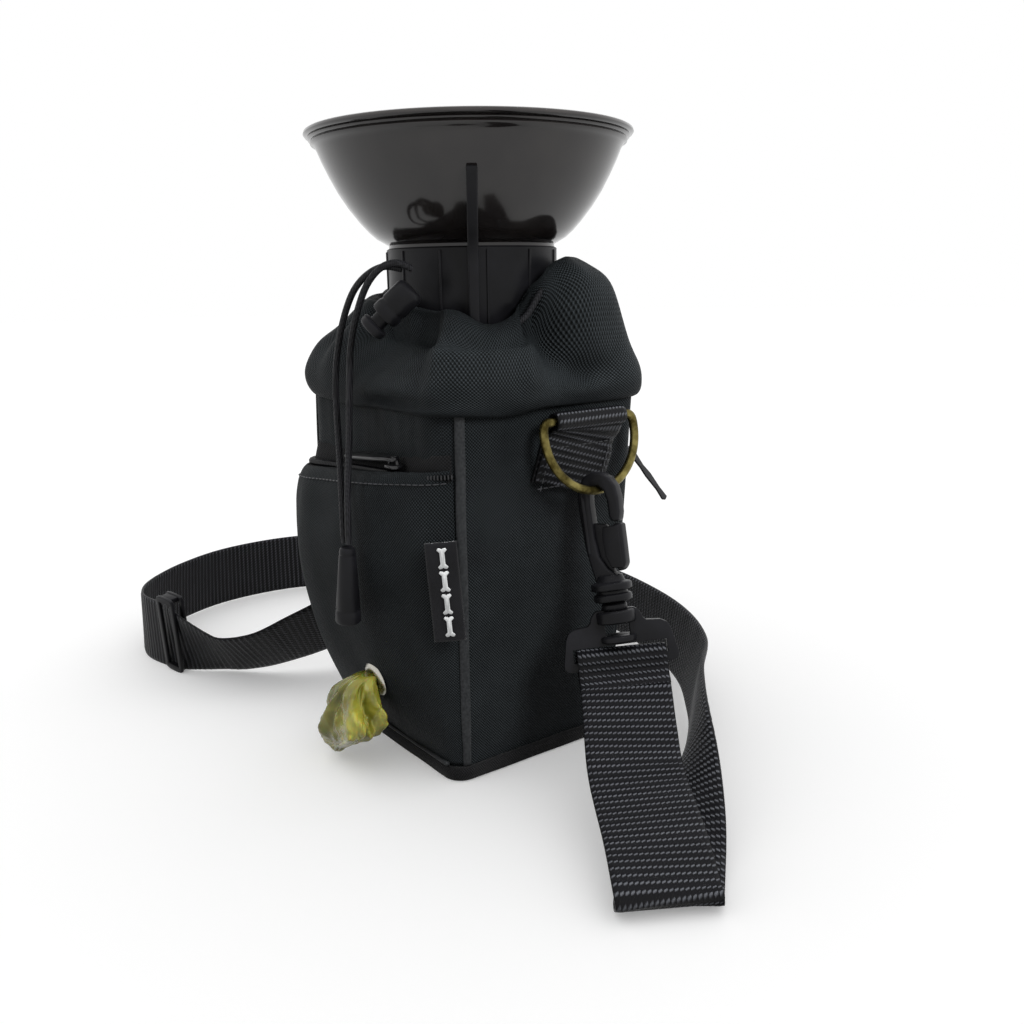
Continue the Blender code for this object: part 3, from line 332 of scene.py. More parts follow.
def polyethylene_film():
    """Thin tinted polyethylene bag film: yellow-green, see-through in single layers, with crinkle glints."""
    mat, tree, shader = new_material("polyethylene_film", Roughness=0.22, Transmission_Weight=0.35, IOR=1.25,
                                     Subsurface_Weight=0.3, Subsurface_Scale=0.004, Coat_Weight=0.45,
                                     Coat_Roughness=0.1)
    place = add(tree, "ShaderNodeTexCoord")
    crinkle = add(tree, "ShaderNodeTexVoronoi", {"Scale": 120}, {"Vector": place.outputs["Object"]},
                  feature="F1")
    cloud = add(tree, "ShaderNodeTexNoise", {"Scale": 70, "Detail": 3}, {"Vector": place.outputs["Object"]})
    colour = spread(tree, cloud.outputs[0], 0.34, 0.66, "49480f", "7a772c")
    tree.links.new(colour.outputs[2], shader.inputs["Base Color"])
    join_bump(tree, shader, crinkle.outputs[0], 0.9 * MM)
    return mat


def grey_card():
    """The roll's card core: pulpy and matt."""
    return moulded("grey_card", "8a7458", "a38c6c", 0.9, 0.1 * MM, 800)


def spring_wire():
    """Drawn spring steel, bright and slightly streaked."""
    return moulded("spring_wire", "8d8d8d", "a5a5a5", 0.3, 0.01 * MM, 900, Metallic=1.0)


def sewing_thread(name, dark, light):
    """Twisted polyester thread: a little shinier than the cloth it holds."""
    return moulded(name, dark, light, 0.45, 0.05 * MM, 2500)


MATERIALS = {}


def finish_of(maker, *words):
    key = (maker.__name__, *words)
    if key not in MATERIALS:
        MATERIALS[key] = maker(*words)
    return MATERIALS[key]


# ---------------------------------------------------------------- shapes

def mm_outline(points):
    """An outline given in millimetres, in metres."""
    return [(x * MM, z * MM) for x, z in points]


def link(name, mesh, finish):
    obj = bpy.data.objects.new(name, mesh)
    bpy.context.scene.collection.objects.link(obj)
    mesh.materials.append(finish)
    mesh.shade_smooth()
    return obj


def grid(name, rows, finish, around=False, ends=False, maps=None):
    """A surface through rows of equally many points, with its UV map in metres. around closes each row
    on itself, ends closes the last row to the first. maps gives (u, v) for a row and column."""
    bm = bmesh.new()
    layer = bm.loops.layers.uv.new("cloth")
    verts = [[bm.verts.new(p) for p in row] for row in rows]
    tall, wide = len(rows), len(rows[0])
    for i in range(tall if ends else tall - 1):
        for j in range(wide if around else wide - 1):
            cells = ((i, j), (i, j + 1), (i + 1, j + 1), (i + 1, j))
            face = bm.faces.new([verts[a % tall][b % wide] for a, b in cells])
            if maps:
                for loop, (a, b) in zip(face.loops, cells):
                    loop[layer].uv = maps(a, b)
    return finish_mesh(name, bm, finish)


def finish_mesh(name, bm, finish):
    mesh = bpy.data.meshes.new(name)
    bm.to_mesh(mesh)
    bm.free()
    return link(name, mesh, finish)


def modify(obj, kind, **settings):
    mod = obj.modifiers.new(kind.lower(), kind)
    for name, value in settings.items():
        setattr(mod, name, value)
    return mod


def baked(obj):
    """The object with its modifiers made part of its mesh, so it is plain and stands at the origin."""
    bpy.context.view_layer.update()
    graph = bpy.context.evaluated_depsgraph_get()
    mesh = bpy.data.meshes.new_from_object(obj.evaluated_get(graph), preserve_all_data_layers=True,
                                           depsgraph=graph)
    mesh.transform(obj.matrix_world)
    name = obj.name
    bpy.data.objects.remove(obj)
    made = bpy.data.objects.new(name, mesh)
    bpy.context.scene.collection.objects.link(made)
    return made


def cloth(obj, thick):
    """Gives a surface its cloth thickness, inwards."""
    modify(obj, "SOLIDIFY", thickness=thick, offset=-1, use_rim=True)
    return baked(obj)


def joined(name, objects):
    """Several meshes as one object."""
    bm = bmesh.new()
    finishes = []
    for obj in objects:
        start = len(bm.faces)
        bm.from_mesh(obj.data)
        bm.faces.ensure_lookup_table()
        for mat in obj.data.materials:
            if mat not in finishes:
                finishes.append(mat)
        for face in bm.faces[start:]:
            face.material_index = finishes.index(obj.data.materials[face.material_index])
    mesh = bpy.data.meshes.new(name)
    bm.to_mesh(mesh)
    bm.free()
    for mat in finishes:
        mesh.materials.append(mat)
    for obj in objects:
        bpy.data.objects.remove(obj)
    made = bpy.data.objects.new(name, mesh)
    bpy.context.scene.collection.objects.link(made)
    return made


def lathe(name, profile, finish, steps=96, turn=None, bevel=0.0):
    """Turns a closed (radius, z) outline round Z, then places it with a matrix."""
    bm = bmesh.new()
    rows = []
    for r, z in profile:
        ring = [(r * cos(2 * pi * k / steps), r * sin(2 * pi * k / steps), z) for k in range(steps)]
        rows.append([bm.verts.new(p) for p in ring] if r > 0 else [bm.verts.new((0, 0, z))])
    for low, high in zip(rows, rows[1:] + rows[:1]):
        for k in range(steps):
            corners = [low[k % len(low)], low[(k + 1) % len(low)], high[(k + 1) % len(high)],
                       high[k % len(high)]]
            distinct = list(dict.fromkeys(corners))
            if len(distinct) > 2:
                bm.faces.new(distinct)
    bmesh.ops.recalc_face_normals(bm, faces=bm.faces)
    obj = finish_mesh(name, bm, finish)
    if turn is not None:
        obj.data.transform(turn)
    if bevel:
        modify(obj, "BEVEL", width=bevel, segments=2, limit_method="ANGLE", angle_limit=radians(30))
        obj = baked(obj)
    obj.data.set_sharp_from_angle(angle=radians(40))
    return obj


def slab(name, outline, thick, finish, turn, bevel=0.6 * MM, holes=(), segments=3):
    """A flat moulding: an (x, z) outline given thickness along Y, with holes cut and every edge rounded."""
    def prism(shape, deep):
        bm = bmesh.new()
        faces = [bm.verts.new((x, -deep / 2, z)) for x, z in shape]
        bm.faces.new(faces)
        made = bmesh.ops.extrude_face_region(bm, geom=bm.faces[:])
        bmesh.ops.translate(bm, vec=(0, deep, 0),
                            verts=[v for v in made["geom"] if isinstance(v, bmesh.types.BMVert)])
        bmesh.ops.recalc_face_normals(bm, faces=bm.faces)
        return bm
    obj = finish_mesh(name, prism(outline, thick), finish)
    cutters = []
    for k, hole in enumerate(holes):
        cutter = finish_mesh(f"{name}_hole_{k}", prism(hole, 4 * thick), finish)
        modify(obj, "BOOLEAN", operation="DIFFERENCE", solver="EXACT", object=cutter)
        cutters.append(cutter)
    modify(obj, "BEVEL", width=bevel, segments=segments, limit_method="ANGLE", angle_limit=radians(35))
    obj.data.transform(turn)
    for cutter in cutters:
        cutter.data.transform(turn)
    obj = baked(obj)
    for cutter in cutters:
        bpy.data.objects.remove(cutter)
    obj.data.shade_smooth()
    obj.data.set_sharp_from_angle(angle=radians(50))
    return obj


def block(name, size, finish, turn, bevel=0.4 * MM):
    half = [s / 2 for s in size]
    outline = ((-half[0], -half[2]), (half[0], -half[2]), (half[0], half[2]), (-half[0], half[2]))
    return slab(name, outline, size[1], finish, turn, bevel, segments=2)


def smooth_route(points, per_span=3):
    """Points on a Catmull-Rom curve through the route's own points."""
    pts = [Vector(p) for p in points]
    padded = [2 * pts[0] - pts[1]] + pts + [2 * pts[-1] - pts[-2]]
    route = []
    for a, b, c, d in zip(padded, padded[1:], padded[2:], padded[3:]):
        for k in range(per_span):
            t = k / per_span
            route.append(0.5 * (2 * b + (c - a) * t + (2 * a - 5 * b + 4 * c - d) * t ** 2
                                + (3 * b - a - 3 * c + d) * t ** 3))
    return route + [pts[-1]]


def along_route(points):
    """Running length at each point of a route."""
    total, lengths = 0.0, [0.0]
    for a, b in zip(points, points[1:]):
        total += (b - a).length
        lengths.append(total)
    return lengths


def rod(name, points, radius, finish, sides=16, closed=False):
    """A round bar along a route, with rounded ends."""
    rows = []
    count = len(points)
    normal = None
    for k, at in enumerate(points):
        before = points[(k - 1) % count] if closed else points[max(k - 1, 0)]
        after = points[(k + 1) % count] if closed else points[min(k + 1, count - 1)]
        way = (after - before).normalized()
        if normal is None:
            normal = way.orthogonal().normalized()
        normal = (normal - way * normal.dot(way)).normalized()
        other = way.cross(normal)
        rows.append([at + normal * (radius * cos(2 * pi * j / sides))
                     + other * (radius * sin(2 * pi * j / sides))
                     for j in range(sides)])
    bm = bmesh.new()
    verts = [[bm.verts.new(p) for p in row] for row in rows]
    for i in range(count if closed else count - 1):
        for j in range(sides):
            bm.faces.new((verts[i][j], verts[i][(j + 1) % sides], verts[(i + 1) % count][(j + 1) % sides],
                          verts[(i + 1) % count][j]))
    if not closed:
        for row, at, out in ((verts[0], points[0], points[0] - points[1]),
                             (verts[-1], points[-1], points[-1] - points[-2])):
            tip = bm.verts.new(at + out.normalized() * radius * 0.5)
            for j in range(sides):
                bm.faces.new((row[j], row[(j + 1) % sides], tip))
    bmesh.ops.recalc_face_normals(bm, faces=bm.faces)
    return finish_mesh(name, bm, finish)


def ramp(x, start, end):
    """0 before start, 1 after end, smooth between."""
    t = min(max((x - start) / (end - start), 0), 1)
    return t * t * (3 - 2 * t)


def bell(x, middle, wide):
    return exp(-((x - middle) / wide) ** 2)


def table_value(table, x):
    """Value from rising (x, value) rows, on a smooth curve through them."""
    if x <= table[0][0] or x >= table[-1][0]:
        return table[0][1] if x <= table[0][0] else table[-1][1]
    k = next(k for k in range(len(table) - 1) if x <= table[k + 1][0])
    rows = [table[min(max(k + d, 0), len(table) - 1)] for d in (-1, 0, 1, 2)]
    span = rows[2][0] - rows[1][0]
    slopes = [(rows[m + 1][1] - rows[m - 1][1]) / (rows[m + 1][0] - rows[m - 1][0]) * span for m in (1, 2)]
    t = (x - rows[1][0]) / span
    return ((2 * t ** 3 - 3 * t ** 2 + 1) * rows[1][1] + (t ** 3 - 2 * t ** 2 + t) * slopes[0]
            + (3 * t ** 2 - 2 * t ** 3) * rows[2][1] + (t ** 3 - t ** 2) * slopes[1])


def wander(x, y, z, scale, seed=0.0):
    return noise.noise(Vector((x * scale + seed, y * scale - seed, z * scale + 2 * seed)))


def placed(at, x_way, z_way):
    """A matrix that puts a shape's origin at a point with its X and Z along two ways."""
    z = Vector(z_way).normalized()
    x = (Vector(x_way) - z * Vector(x_way).dot(z)).normalized()
    turn = Matrix((x, z.cross(x), z)).transposed().to_4x4()
    return Matrix.Translation(at) @ turn


def body_size(z):
    t = z / BODY_TOP
    return BASE_HALF.lerp(TOP_HALF, t), BASE_CORNER + (TOP_CORNER - BASE_CORNER) * t


def outline_point(z, f, grow=0.0):
    """A point of the pouch's outline: f runs once round from the front right seam, counterclockwise."""
    half, radius = body_size(z)
    half = half + Vector((grow, grow))
    radius += grow
    side = int(f * 4) % 4
    out, way = (Vector((1, 0)), Vector((0, 1)), Vector((-1, 0)), Vector((0, -1)))[side], \
        (Vector((0, 1)), Vector((-1, 0)), Vector((0, -1)), Vector((1, 0)))[side]
    deep, wide = (half.x, half.y) if side % 2 == 0 else (half.y, half.x)
    arc = radius * pi / 4
    straight = 2 * (wide - radius)
    run = (f * 4 - int(f * 4)) * (straight + 2 * arc)
    if run < arc:
        a = -pi / 4 + run / radius
        p, normal = (deep - radius + radius * cos(a), -(wide - radius) + radius * sin(a)), (cos(a), sin(a))
    elif run < arc + straight:
        p, normal = (deep, -(wide - radius) + run - arc), (1, 0)
    else:
        a = (run - arc - straight) / radius
        p, normal = (deep - radius + radius * cos(a), wide - radius + radius * sin(a)), (cos(a), sin(a))
    facing = out * normal[0] + way * normal[1]
    pull = 6.2 * MM * bell(f % 1, 0.75, 0.08) * sin(pi * min(z / (196 * MM), 1)) ** 1.5
    at = out * p[0] + way * p[1] + facing * pull
    return Vector((at.x, at.y, z)), Vector((facing.x, facing.y, 0))


def stitch_tree(name, finish):
    """Geometry Nodes: short rounded stitches laid end to end along a seam line."""
    tree = bpy.data.node_groups.new(name, "GeometryNodeTree")
    face = tree.interface
    face.new_socket("Geometry", in_out="INPUT", socket_type="NodeSocketGeometry")
    for label, value in (("Stitch step", 3.0 * MM), ("Stitch length", 2.3 * MM),
                         ("Thread radius", 0.28 * MM)):
        face.new_socket(label, in_out="INPUT", socket_type="NodeSocketFloat").default_value = value
    face.new_socket("Geometry", in_out="OUTPUT", socket_type="NodeSocketGeometry")
    given = add(tree, "NodeGroupInput")
    spaced = add(tree, "GeometryNodeResampleCurve", None,
                 {"Curve": given.outputs[0], "Length": given.outputs["Stitch step"]},
                 mode="LENGTH")
    tangent = add(tree, "GeometryNodeInputTangent")
    turn = add(tree, "FunctionNodeAlignRotationToVector", None, {"Vector": tangent.outputs[0]}, axis="Z")
    thread = add(tree, "GeometryNodeMeshCylinder", {"Vertices": 6, "Side Segments": 2},
                 {"Radius": given.outputs["Thread radius"], "Depth": given.outputs["Stitch length"]})
    laid = add(tree, "GeometryNodeInstanceOnPoints", None,
               {"Points": spaced.outputs[0], "Instance": thread.outputs["Mesh"], "Rotation": turn.outputs[0]})
    real = add(tree, "GeometryNodeRealizeInstances", None, {0: laid.outputs[0]})
    dressed = add(tree, "GeometryNodeSetMaterial", {"Material": finish}, {0: real.outputs[0]})
    add(tree, "NodeGroupOutput", None, {0: dressed.outputs[0]})
    return tree


def curve_of(name, routes):
    curve = bpy.data.curves.new(name, "CURVE")
    curve.dimensions = "3D"
    for route in routes:
        spline = curve.splines.new("POLY")
        spline.points.add(len(route) - 1)
        for point, at in zip(spline.points, route):
            point.co = (*at, 1)
    obj = bpy.data.objects.new(name, curve)
    bpy.context.scene.collection.objects.link(obj)
    return obj


def from_nodes(obj, tree):
    """Runs a Geometry Nodes tree on an object, and keeps the plain mesh."""
    obj.modifiers.new("nodes", "NODES").node_group = tree
    return baked(obj)


def stitches(name, routes, tree, body):
    obj = from_nodes(curve_of(name, routes), tree)
    obj.data.shade_smooth()
    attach(obj, body)
    return obj


# ---------------------------------------------------------------- stage and cords

def camera():
    data = bpy.data.cameras.new("camera")
    data.lens, data.sensor_width = LENS, 36
    data.clip_start = 0.01
    obj = bpy.data.objects.new("camera", data)
    look = Vector((cos(EYE_YAW) * cos(EYE_PITCH), sin(EYE_YAW) * cos(EYE_PITCH), -sin(EYE_PITCH)))
    right = Vector((sin(EYE_YAW), -cos(EYE_YAW), 0))
    up = right.cross(look)
    rolled = right * cos(EYE_ROLL) - up * sin(EYE_ROLL)
    above = right * sin(EYE_ROLL) + up * cos(EYE_ROLL)
    obj.matrix_world = Matrix.Translation(EYE) @ Matrix((rolled, above, -look)).transposed().to_4x4()
    bpy.context.scene.collection.objects.link(obj)
    bpy.context.scene.camera = obj


def studio():
    """A pale floor under a bright even sky, one large soft light at each side and one above."""
    bm = bmesh.new()
    bmesh.ops.create_circle(bm, cap_ends=True, segments=64, radius=6)
    mat, tree, shader = new_material("pale_floor", Base_Color=linear("f0f0f0"), Roughness=1.0,
                                     Specular_IOR_Level=0.0)
    shader.inputs["Emission Color"].default_value = (1, 1, 1, 1)
    shader.inputs["Emission Strength"].default_value = 0.2
    floor = finish_mesh("floor", bm, mat)
    floor.location.z = -0.0002
    world = bpy.data.worlds.new("studio")
    world.use_nodes = True
    world.node_tree.nodes["Background"].inputs["Color"].default_value = linear("ffffff")
    world.node_tree.nodes["Background"].inputs["Strength"].default_value = 1.0
    bpy.context.scene.world = world
    # The lamps leave the floor out: its bounce would wash out the dark cloth
    unlit = bpy.data.collections.new("outside_the_lamps")
    unlit.objects.link(floor)
    unlit.collection_objects[0].light_linking.link_state = "EXCLUDE"
    lights = (("over", (0.10, 0.10, 0.95), 0.45, 34.0), ("right", (0.75, 0.10, 0.60), 0.3, 15.0),
              ("left", (-0.30, -0.80, 0.55), 0.4, 8.0))
    for name, at, size, power in lights:
        data = bpy.data.lights.new(name, "AREA")
        data.size, data.energy = size, power
        obj = bpy.data.objects.new(name, data)
        obj.matrix_world = placed(Vector(at), (1, 0.01, 0), Vector(at) - Vector((0, 0, 0.12)))
        obj.visible_glossy = False
        obj.light_linking.receiver_collection = unlit
        bpy.context.scene.collection.objects.link(obj)
    bpy.context.scene.view_settings.view_transform = "Standard"


def cord_end():
    """The moulded cord end: a slim wedge with a neck, a panel line and a foot band."""
    turn = Matrix.Translation(CORD_END_TOP) @ Matrix.Rotation(CORD_END_LEAN, 4, "Y")
    deep = CORD_END_LONG
    profile = ((0, 0.3), (2.6, 0.3), (3.2, -0.4), (3.5, -2.2), (3.3, -2.8), (3.6, -3.4),
               (5.15, -deep / MM + 6.5), (4.95, -deep / MM + 6.1), (4.95, -deep / MM + 5.5),
               (5.25, -deep / MM + 5.1), (5.5, -deep / MM + 0.7), (5.0, -deep / MM), (0, -deep / MM))
    end = lathe("cord_end_wedge", mm_outline(profile), finish_of(acetal), 48, turn)
    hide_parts("cord_end")
    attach(end, "cord_lock")
    return end


def drawcord_tails():
    """The two elastic tails, up out of the cuff, over the lock and down to the cord end."""
    end = cord_end()
    for side, points in (("left", TAIL_LEFT), ("right", TAIL_RIGHT)):
        route = smooth_route([Vector(p) * MM for p in points], 5)
        curve = curve_of(f"elastic_{side}", [route])
        curve.data.bevel_depth, curve.data.bevel_resolution, curve.data.use_fill_caps = CORD_R, 4, True
        curve.data.materials.append(finish_of(braided_cord))
        curve.data.splines[0].use_smooth = True
        along_route(route)[-1]
        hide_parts(f"drawcord_tail_{side}")
        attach(curve, "cord_lock")


# ---------------------------------------------------------------- pouch

def pouch_body():
    """The four walls and the base as one sewn shell, drawn in at its corner seams and slack between them."""
    across, up = 400, 84
    top = 166 * MM
    rows = []
    for i in range(up + 1):
        z = top * i / up
        row = []
        for j in range(across):
            f = j / across
            at, facing = outline_point(z, f)
            seam = min(abs(f * 4 - round(f * 4)) * 0.25, 1)
            between = sin(pi * (f * 4 % 1))
            swell = 1.6 * between * sin(pi * min(z / top, 1)) - 0.7 * bell(seam, 0, 0.006)
            crease = 1.1 * wander(f * 9, z * 22, 0, 1.0, 3.1) * (0.25 + sin(pi * z / top))
            tuck = 0.5 * wander(f * 60, z * 26, 0, 1.0, 7.7) * ramp(z, 110 * MM, 160 * MM)
            row.append(at + facing * (swell + crease * between + tuck) * MM)
        rows.append(row)
    floor = []
    for share in (0.9, 0.5, 0.1):
        floor.append([Vector((p.x * share, p.y * share, 0.2 * MM)) for p in rows[0]])
    body = grid("pouch_shell", floor[::-1] + rows, finish_of(oxford_polyester), around=True,
                maps=lambda i, j: (j / across * 0.4, i * top / up))
    body = cloth(body, 1.8 * MM)
    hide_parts("front_panel", "back_panel", "left_panel", "right_panel", "base_panel")
    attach(body, "root")


def base_tape():
    """Dull binding tape folded round the base seam."""
    rows = []
    for z, grow in ((0.3, 0.5), (0.4, 1.5), (3.5, 2.0), (6.2, 1.9), (7.0, 1.2), (6.9, 0.4)):
        rows.append([outline_point(z * MM, j / 200, (grow + 0.25 * wander(j * 0.11, z * 0.2, 0, 1, 2))
                                   * MM)[0]
                     for j in range(200)])
    tape = grid("base_tape", rows, finish_of(grosgrain_tape), around=True, ends=True,
                maps=lambda i, j: (j / 200 * 0.38, i * 2.2 * MM))
    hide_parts("base_binding")
    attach(tape, "root")


def seam_piping(side, f):
    """A folded ribbon standing in a front corner seam, from the base tape to under the cuff."""
    rows, length = [], []
    for k in range(81):
        z = (7.4 + (163 - 7.4) * k / 80) * MM
        at, facing = outline_point(z, f + (0.0105 + 0.0065 * k / 80 if side == "right" else 0))
        way = Vector((-facing.y, facing.x, 0))
        sway = 0.35 * wander(z * 30, 0, 0, 1, 5) * MM
        wide = (2.2 - 0.4 * ramp(z, 30 * MM, 10 * MM)) * MM
        section = ((-1, 0.2), (-0.96, 1.0), (-0.4, 1.35), (0.4, 1.4), (0.96, 1.05), (1, 0.2))
        rows.append([at + way * (u * wide + sway) + facing * (v * MM) for u, v in section])
    tape = grid(f"corner_ribbon_{side}", rows, finish_of(reflective_tape), around=True,
                maps=lambda i, j: (j * MM, i * 2 * MM))
    close_ends(tape)
    tape.data.shade_smooth()
    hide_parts(f"front_{side}_piping")
    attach(tape, "root")


def close_ends(obj):
    bm = bmesh.new()
    bm.from_mesh(obj.data)
    bmesh.ops.holes_fill(bm, edges=[e for e in bm.edges if e.is_boundary], sides=0)
    bmesh.ops.recalc_face_normals(bm, faces=bm.faces)
    bm.to_mesh(obj.data)
    bm.free()


# Cuff: heights of its hem and crest in mm round the pouch, by the angle in degrees from the front right seam
CUFF_HEM = ((-180, 163), (-125, 163), (-90, 161), (-65, 160), (-45, 160.5), (-8, 160.5), (12, 158.4),
            (30, 160.5), (60, 160), (110, 162), (180, 163))
CUFF_CREST = ((-180, 213), (-130, 210), (-95, 205), (-60, 205), (-35, 203), (-20, 201), (-8, 200.5),
              (6, 195), (18, 197), (27, 203), (36, 211), (50, 220), (60, 221.5), (85, 219.5), (120, 215),
              (180, 213))
# Folds: angle, its spread, height share from hem to crest, its spread, and depth in mm (inwards is negative)
CUFF_FOLDS = ((-34, 15, 0.26, 0.05, -4.0), (-40, 18, 0.40, 0.08, 3.0), (-6, 6, 0.72, 0.20, 4.5),
              (8, 10, 0.62, 0.18, 3.0), (31, 6.5, 0.82, 0.24, -14), (40, 7.5, 0.60, 0.15, -13),
              (51, 9, 0.46, 0.09, -7), (62, 14, 0.80, 0.18, 6.0), (22, 5, 0.50, 0.12, 2.5),
              (72, 7, 0.45, 0.30, 1.5), (95, 6, 0.66, 0.28, -8), (125, 7, 0.60, 0.26, -9),
              (150, 6, 0.70, 0.26, -8), (-178, 7, 0.60, 0.26, -9), (178, 7, 0.60, 0.26, -4),
              (-150, 6, 0.66, 0.26, -8), (-118, 7, 0.62, 0.26, -8), (-88, 6, 0.72, 0.2, -7),
              (-66, 5, 0.80, 0.16, -5), (20, 9, 0.26, 0.14, 1.8), (-5, 9, 0.20, 0.10, 1.4),
              (110, 10, 0.40, 0.2, 2), (-100, 12, 0.42, 0.2, 2))
FRONT_RIGHT, CUFF_NECK = -34.6, 40.6


def cuff_point(angle, share):
    """A point on the cuff's outside. share is 0 at the hem, 0.62 at the crest and 1 at the inner edge."""
    hem, crest = table_value(CUFF_HEM, angle), table_value(CUFF_CREST, angle)
    full = 1 - 0.045 * bell(angle, 70, 60)
    levels = ((56.4, 7.5, hem), (59.6, 7.2, hem + 1.2), (61.6, 6.6, hem + 6), (61.8, 5.8, hem + 14),
              (59.2, 4.6, 186), (54.5, 3.4, crest - 12), (49.5, 2.4, crest - 3), (46.5, 2.1, crest),
              (43.8, 2.0, crest - 1.5), (41.6, 2.0, crest - 8), (41.2, 2.0, min(crest - 20, 186)))
    place = share * (len(levels) - 1)
    k = min(int(place), len(levels) - 2)
    t = place - k
    window = [levels[min(max(k + d, 0), len(levels) - 1)] for d in (-1, 0, 1, 2)]
    size, power, z = [0.5 * (2 * b + (c - a) * t + (2 * a - 5 * b + 4 * c - d) * t ** 2
                             + (3 * b - a - 3 * c + d) * t ** 3)
                      for a, b, c, d in zip(*window)]
    turn = radians(angle + FRONT_RIGHT)
    reach = size * (abs(cos(turn)) ** power + abs(sin(turn)) ** power) ** (-1 / power)
    outer = min(share / 0.66, 1)
    reach *= 1 - (1 - full) * (1 - ramp(share, 0.5, 0.8))
    move = 0.0
    for at, wide, height, tall, deep in CUFF_FOLDS:
        gap = (angle - at + 180) % 360 - 180
        move += deep * bell(gap, 0, wide) * bell(outer, height, tall)
    move -= 15 * ramp(angle, -84, -46) * (1 - ramp(angle, -19, -12)) * bell(outer, 0.70, 0.26)
    gather = ramp(share, 0.36, 0.60) * (1 - ramp(share, 0.72, 0.85))
    move += 1.3 * gather * sin(turn * 19 + 2.2 * sin(turn * 3)) * (0.6 + 0.4 * sin(turn * 5 + 1))
    move += 1.5 * wander(cos(turn) * 3, sin(turn) * 3, share * 5, 1, 4.4) * (1 - ramp(share, 0.7, 0.85))
    reach = max(reach + move, CUFF_NECK)
    drop = 0.22 * min(move, 0) * ramp(share, 0.3, 0.6)
    return Vector((reach * cos(turn), reach * sin(turn), z + drop)) * MM


def drawstring_cuff():
    """The gathered top: an overhanging skirt, deep folds, a drawn-in crest and the turned-in edge."""
    across, tall = 480, 84
    rows = [[cuff_point(j * 360 / across - 180, i / tall) for j in range(across)] for i in range(tall + 1)]
    cuff = grid("cuff_cloth", rows, finish_of(oxford_polyester), around=True,
                maps=lambda i, j: (j / across * 0.42, i / tall * 0.085))
    modify(cuff, "CORRECTIVE_SMOOTH", iterations=3, smooth_type="SIMPLE", use_only_smooth=True)
    cuff = cloth(cuff, 1.3 * MM)
    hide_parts("top_cuff")
    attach(cuff, "root")
    loop = []
    for angle in range(-180, 180, 3):
        edge = cuff_point(angle, 0.7)
        way = Vector((edge.x, edge.y, 0)).normalized()
        sunk = ramp(angle, -96, -66) * (1 - ramp(angle, -20, -6))
        loop.append(way * (45.2 - 1.9 * sunk) * MM + Vector((0, 0, edge.z - (5.2 + 14 * sunk) * MM)))
    cord = rod("drawcord_inside", loop, CORD_R, finish_of(braided_cord), 10, closed=True)
    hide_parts("drawcord_loop")
    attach(cord, "root")


def pocket_point(s, z, grow=0.0):
    """A point of the front pocket: s runs from the left side seam to the front right seam."""
    base, _ = outline_point(z, POCKET_LEFT + POCKET_SPAN * s)
    base.z += (9.5 * s - 3.5) * MM * ramp(z, 96 * MM, 133 * MM)
    bulge = table_value([(a * MM, b * MM) for a, b in POCKET_PROFILE], z)
    out = table_value(POCKET_ACROSS, s)
    wrinkle = 0.0
    for at_s, at_z, wide_s, wide_z, deep in ((0.10, 118, 0.05, 16, -1.4), (0.30, 116, 0.16, 7, -1.3),
                                             (0.62, 96, 0.08, 36, 0.9), (0.80, 60, 0.05, 40, -1.0),
                                             (0.22, 60, 0.08, 30, 0.8), (0.52, 30, 0.20, 8, 1.2),
                                             (0.45, 46, 0.10, 14, -0.8), (0.86, 112, 0.06, 14, 1.2)):
        wrinkle += deep * bell(s, at_s, wide_s) * bell(z / MM, at_z, wide_z)
    wrinkle += 0.9 * wander(s * 5, z * 40, 0, 1, 8.8)
    push = 0.6 * MM + bulge * out + wrinkle * out * MM + grow
    return base + Vector((0.5 * push * bell(s, 1, 0.1) - 0.3 * push * bell(s, 0, 0.1), -push, 0))


def pocket():
    """The bulging front pocket with its eyelet hole, and its rolled top edge."""
    across, tall = 150, 120
    low, high = POCKET_PROFILE[0][0], POCKET_PROFILE[-1][0]
    rows = [[pocket_point((j / across) ** 0.9, (low + (high - low) * i / tall) * MM)
             for j in range(across + 1)]
            for i in range(tall + 1)]
    shell = grid("pocket_shell", rows, finish_of(oxford_polyester),
                 maps=lambda i, j: (j / across * 0.125, i / tall * 0.135))
    bm = bmesh.new()
    bm.from_mesh(shell.data)
    inside = [f for f in bm.faces
              if (f.calc_center_median() - EYELET_AT).cross(EYELET_AXIS.normalized()).length < 4.9 * MM]
    bmesh.ops.delete(bm, geom=inside, context="FACES")
    bm.to_mesh(shell.data)
    bm.free()
    shell = cloth(shell, 1.1 * MM)
    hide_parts("pocket_front")
    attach(shell, "root")


def pocket_piping():
    """The grey ribbon along the foot of the pocket, just above the base tape."""
    rows = []
    for k in range(61):
        x = (-42 + 84 * k / 60) * MM
        half, _ = body_size(8 * MM)
        y = -half.y - (1.6 + 0.2 * wander(k * 0.2, 0, 0, 1, 3)) * MM
        section = ((0.9, -0.6), (-0.6, -0.8), (-1.1, 0.0), (-0.7, 0.9), (0.9, 0.8))
        rows.append([Vector((x, y + dy * MM, (8.0 + dz) * MM)) for dy, dz in section])
    tape = grid("foot_ribbon", rows, finish_of(reflective_tape), around=True,
                maps=lambda i, j: (j * MM, i * 2 * MM))
    close_ends(tape)
    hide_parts("pocket_piping")
    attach(tape, "root")


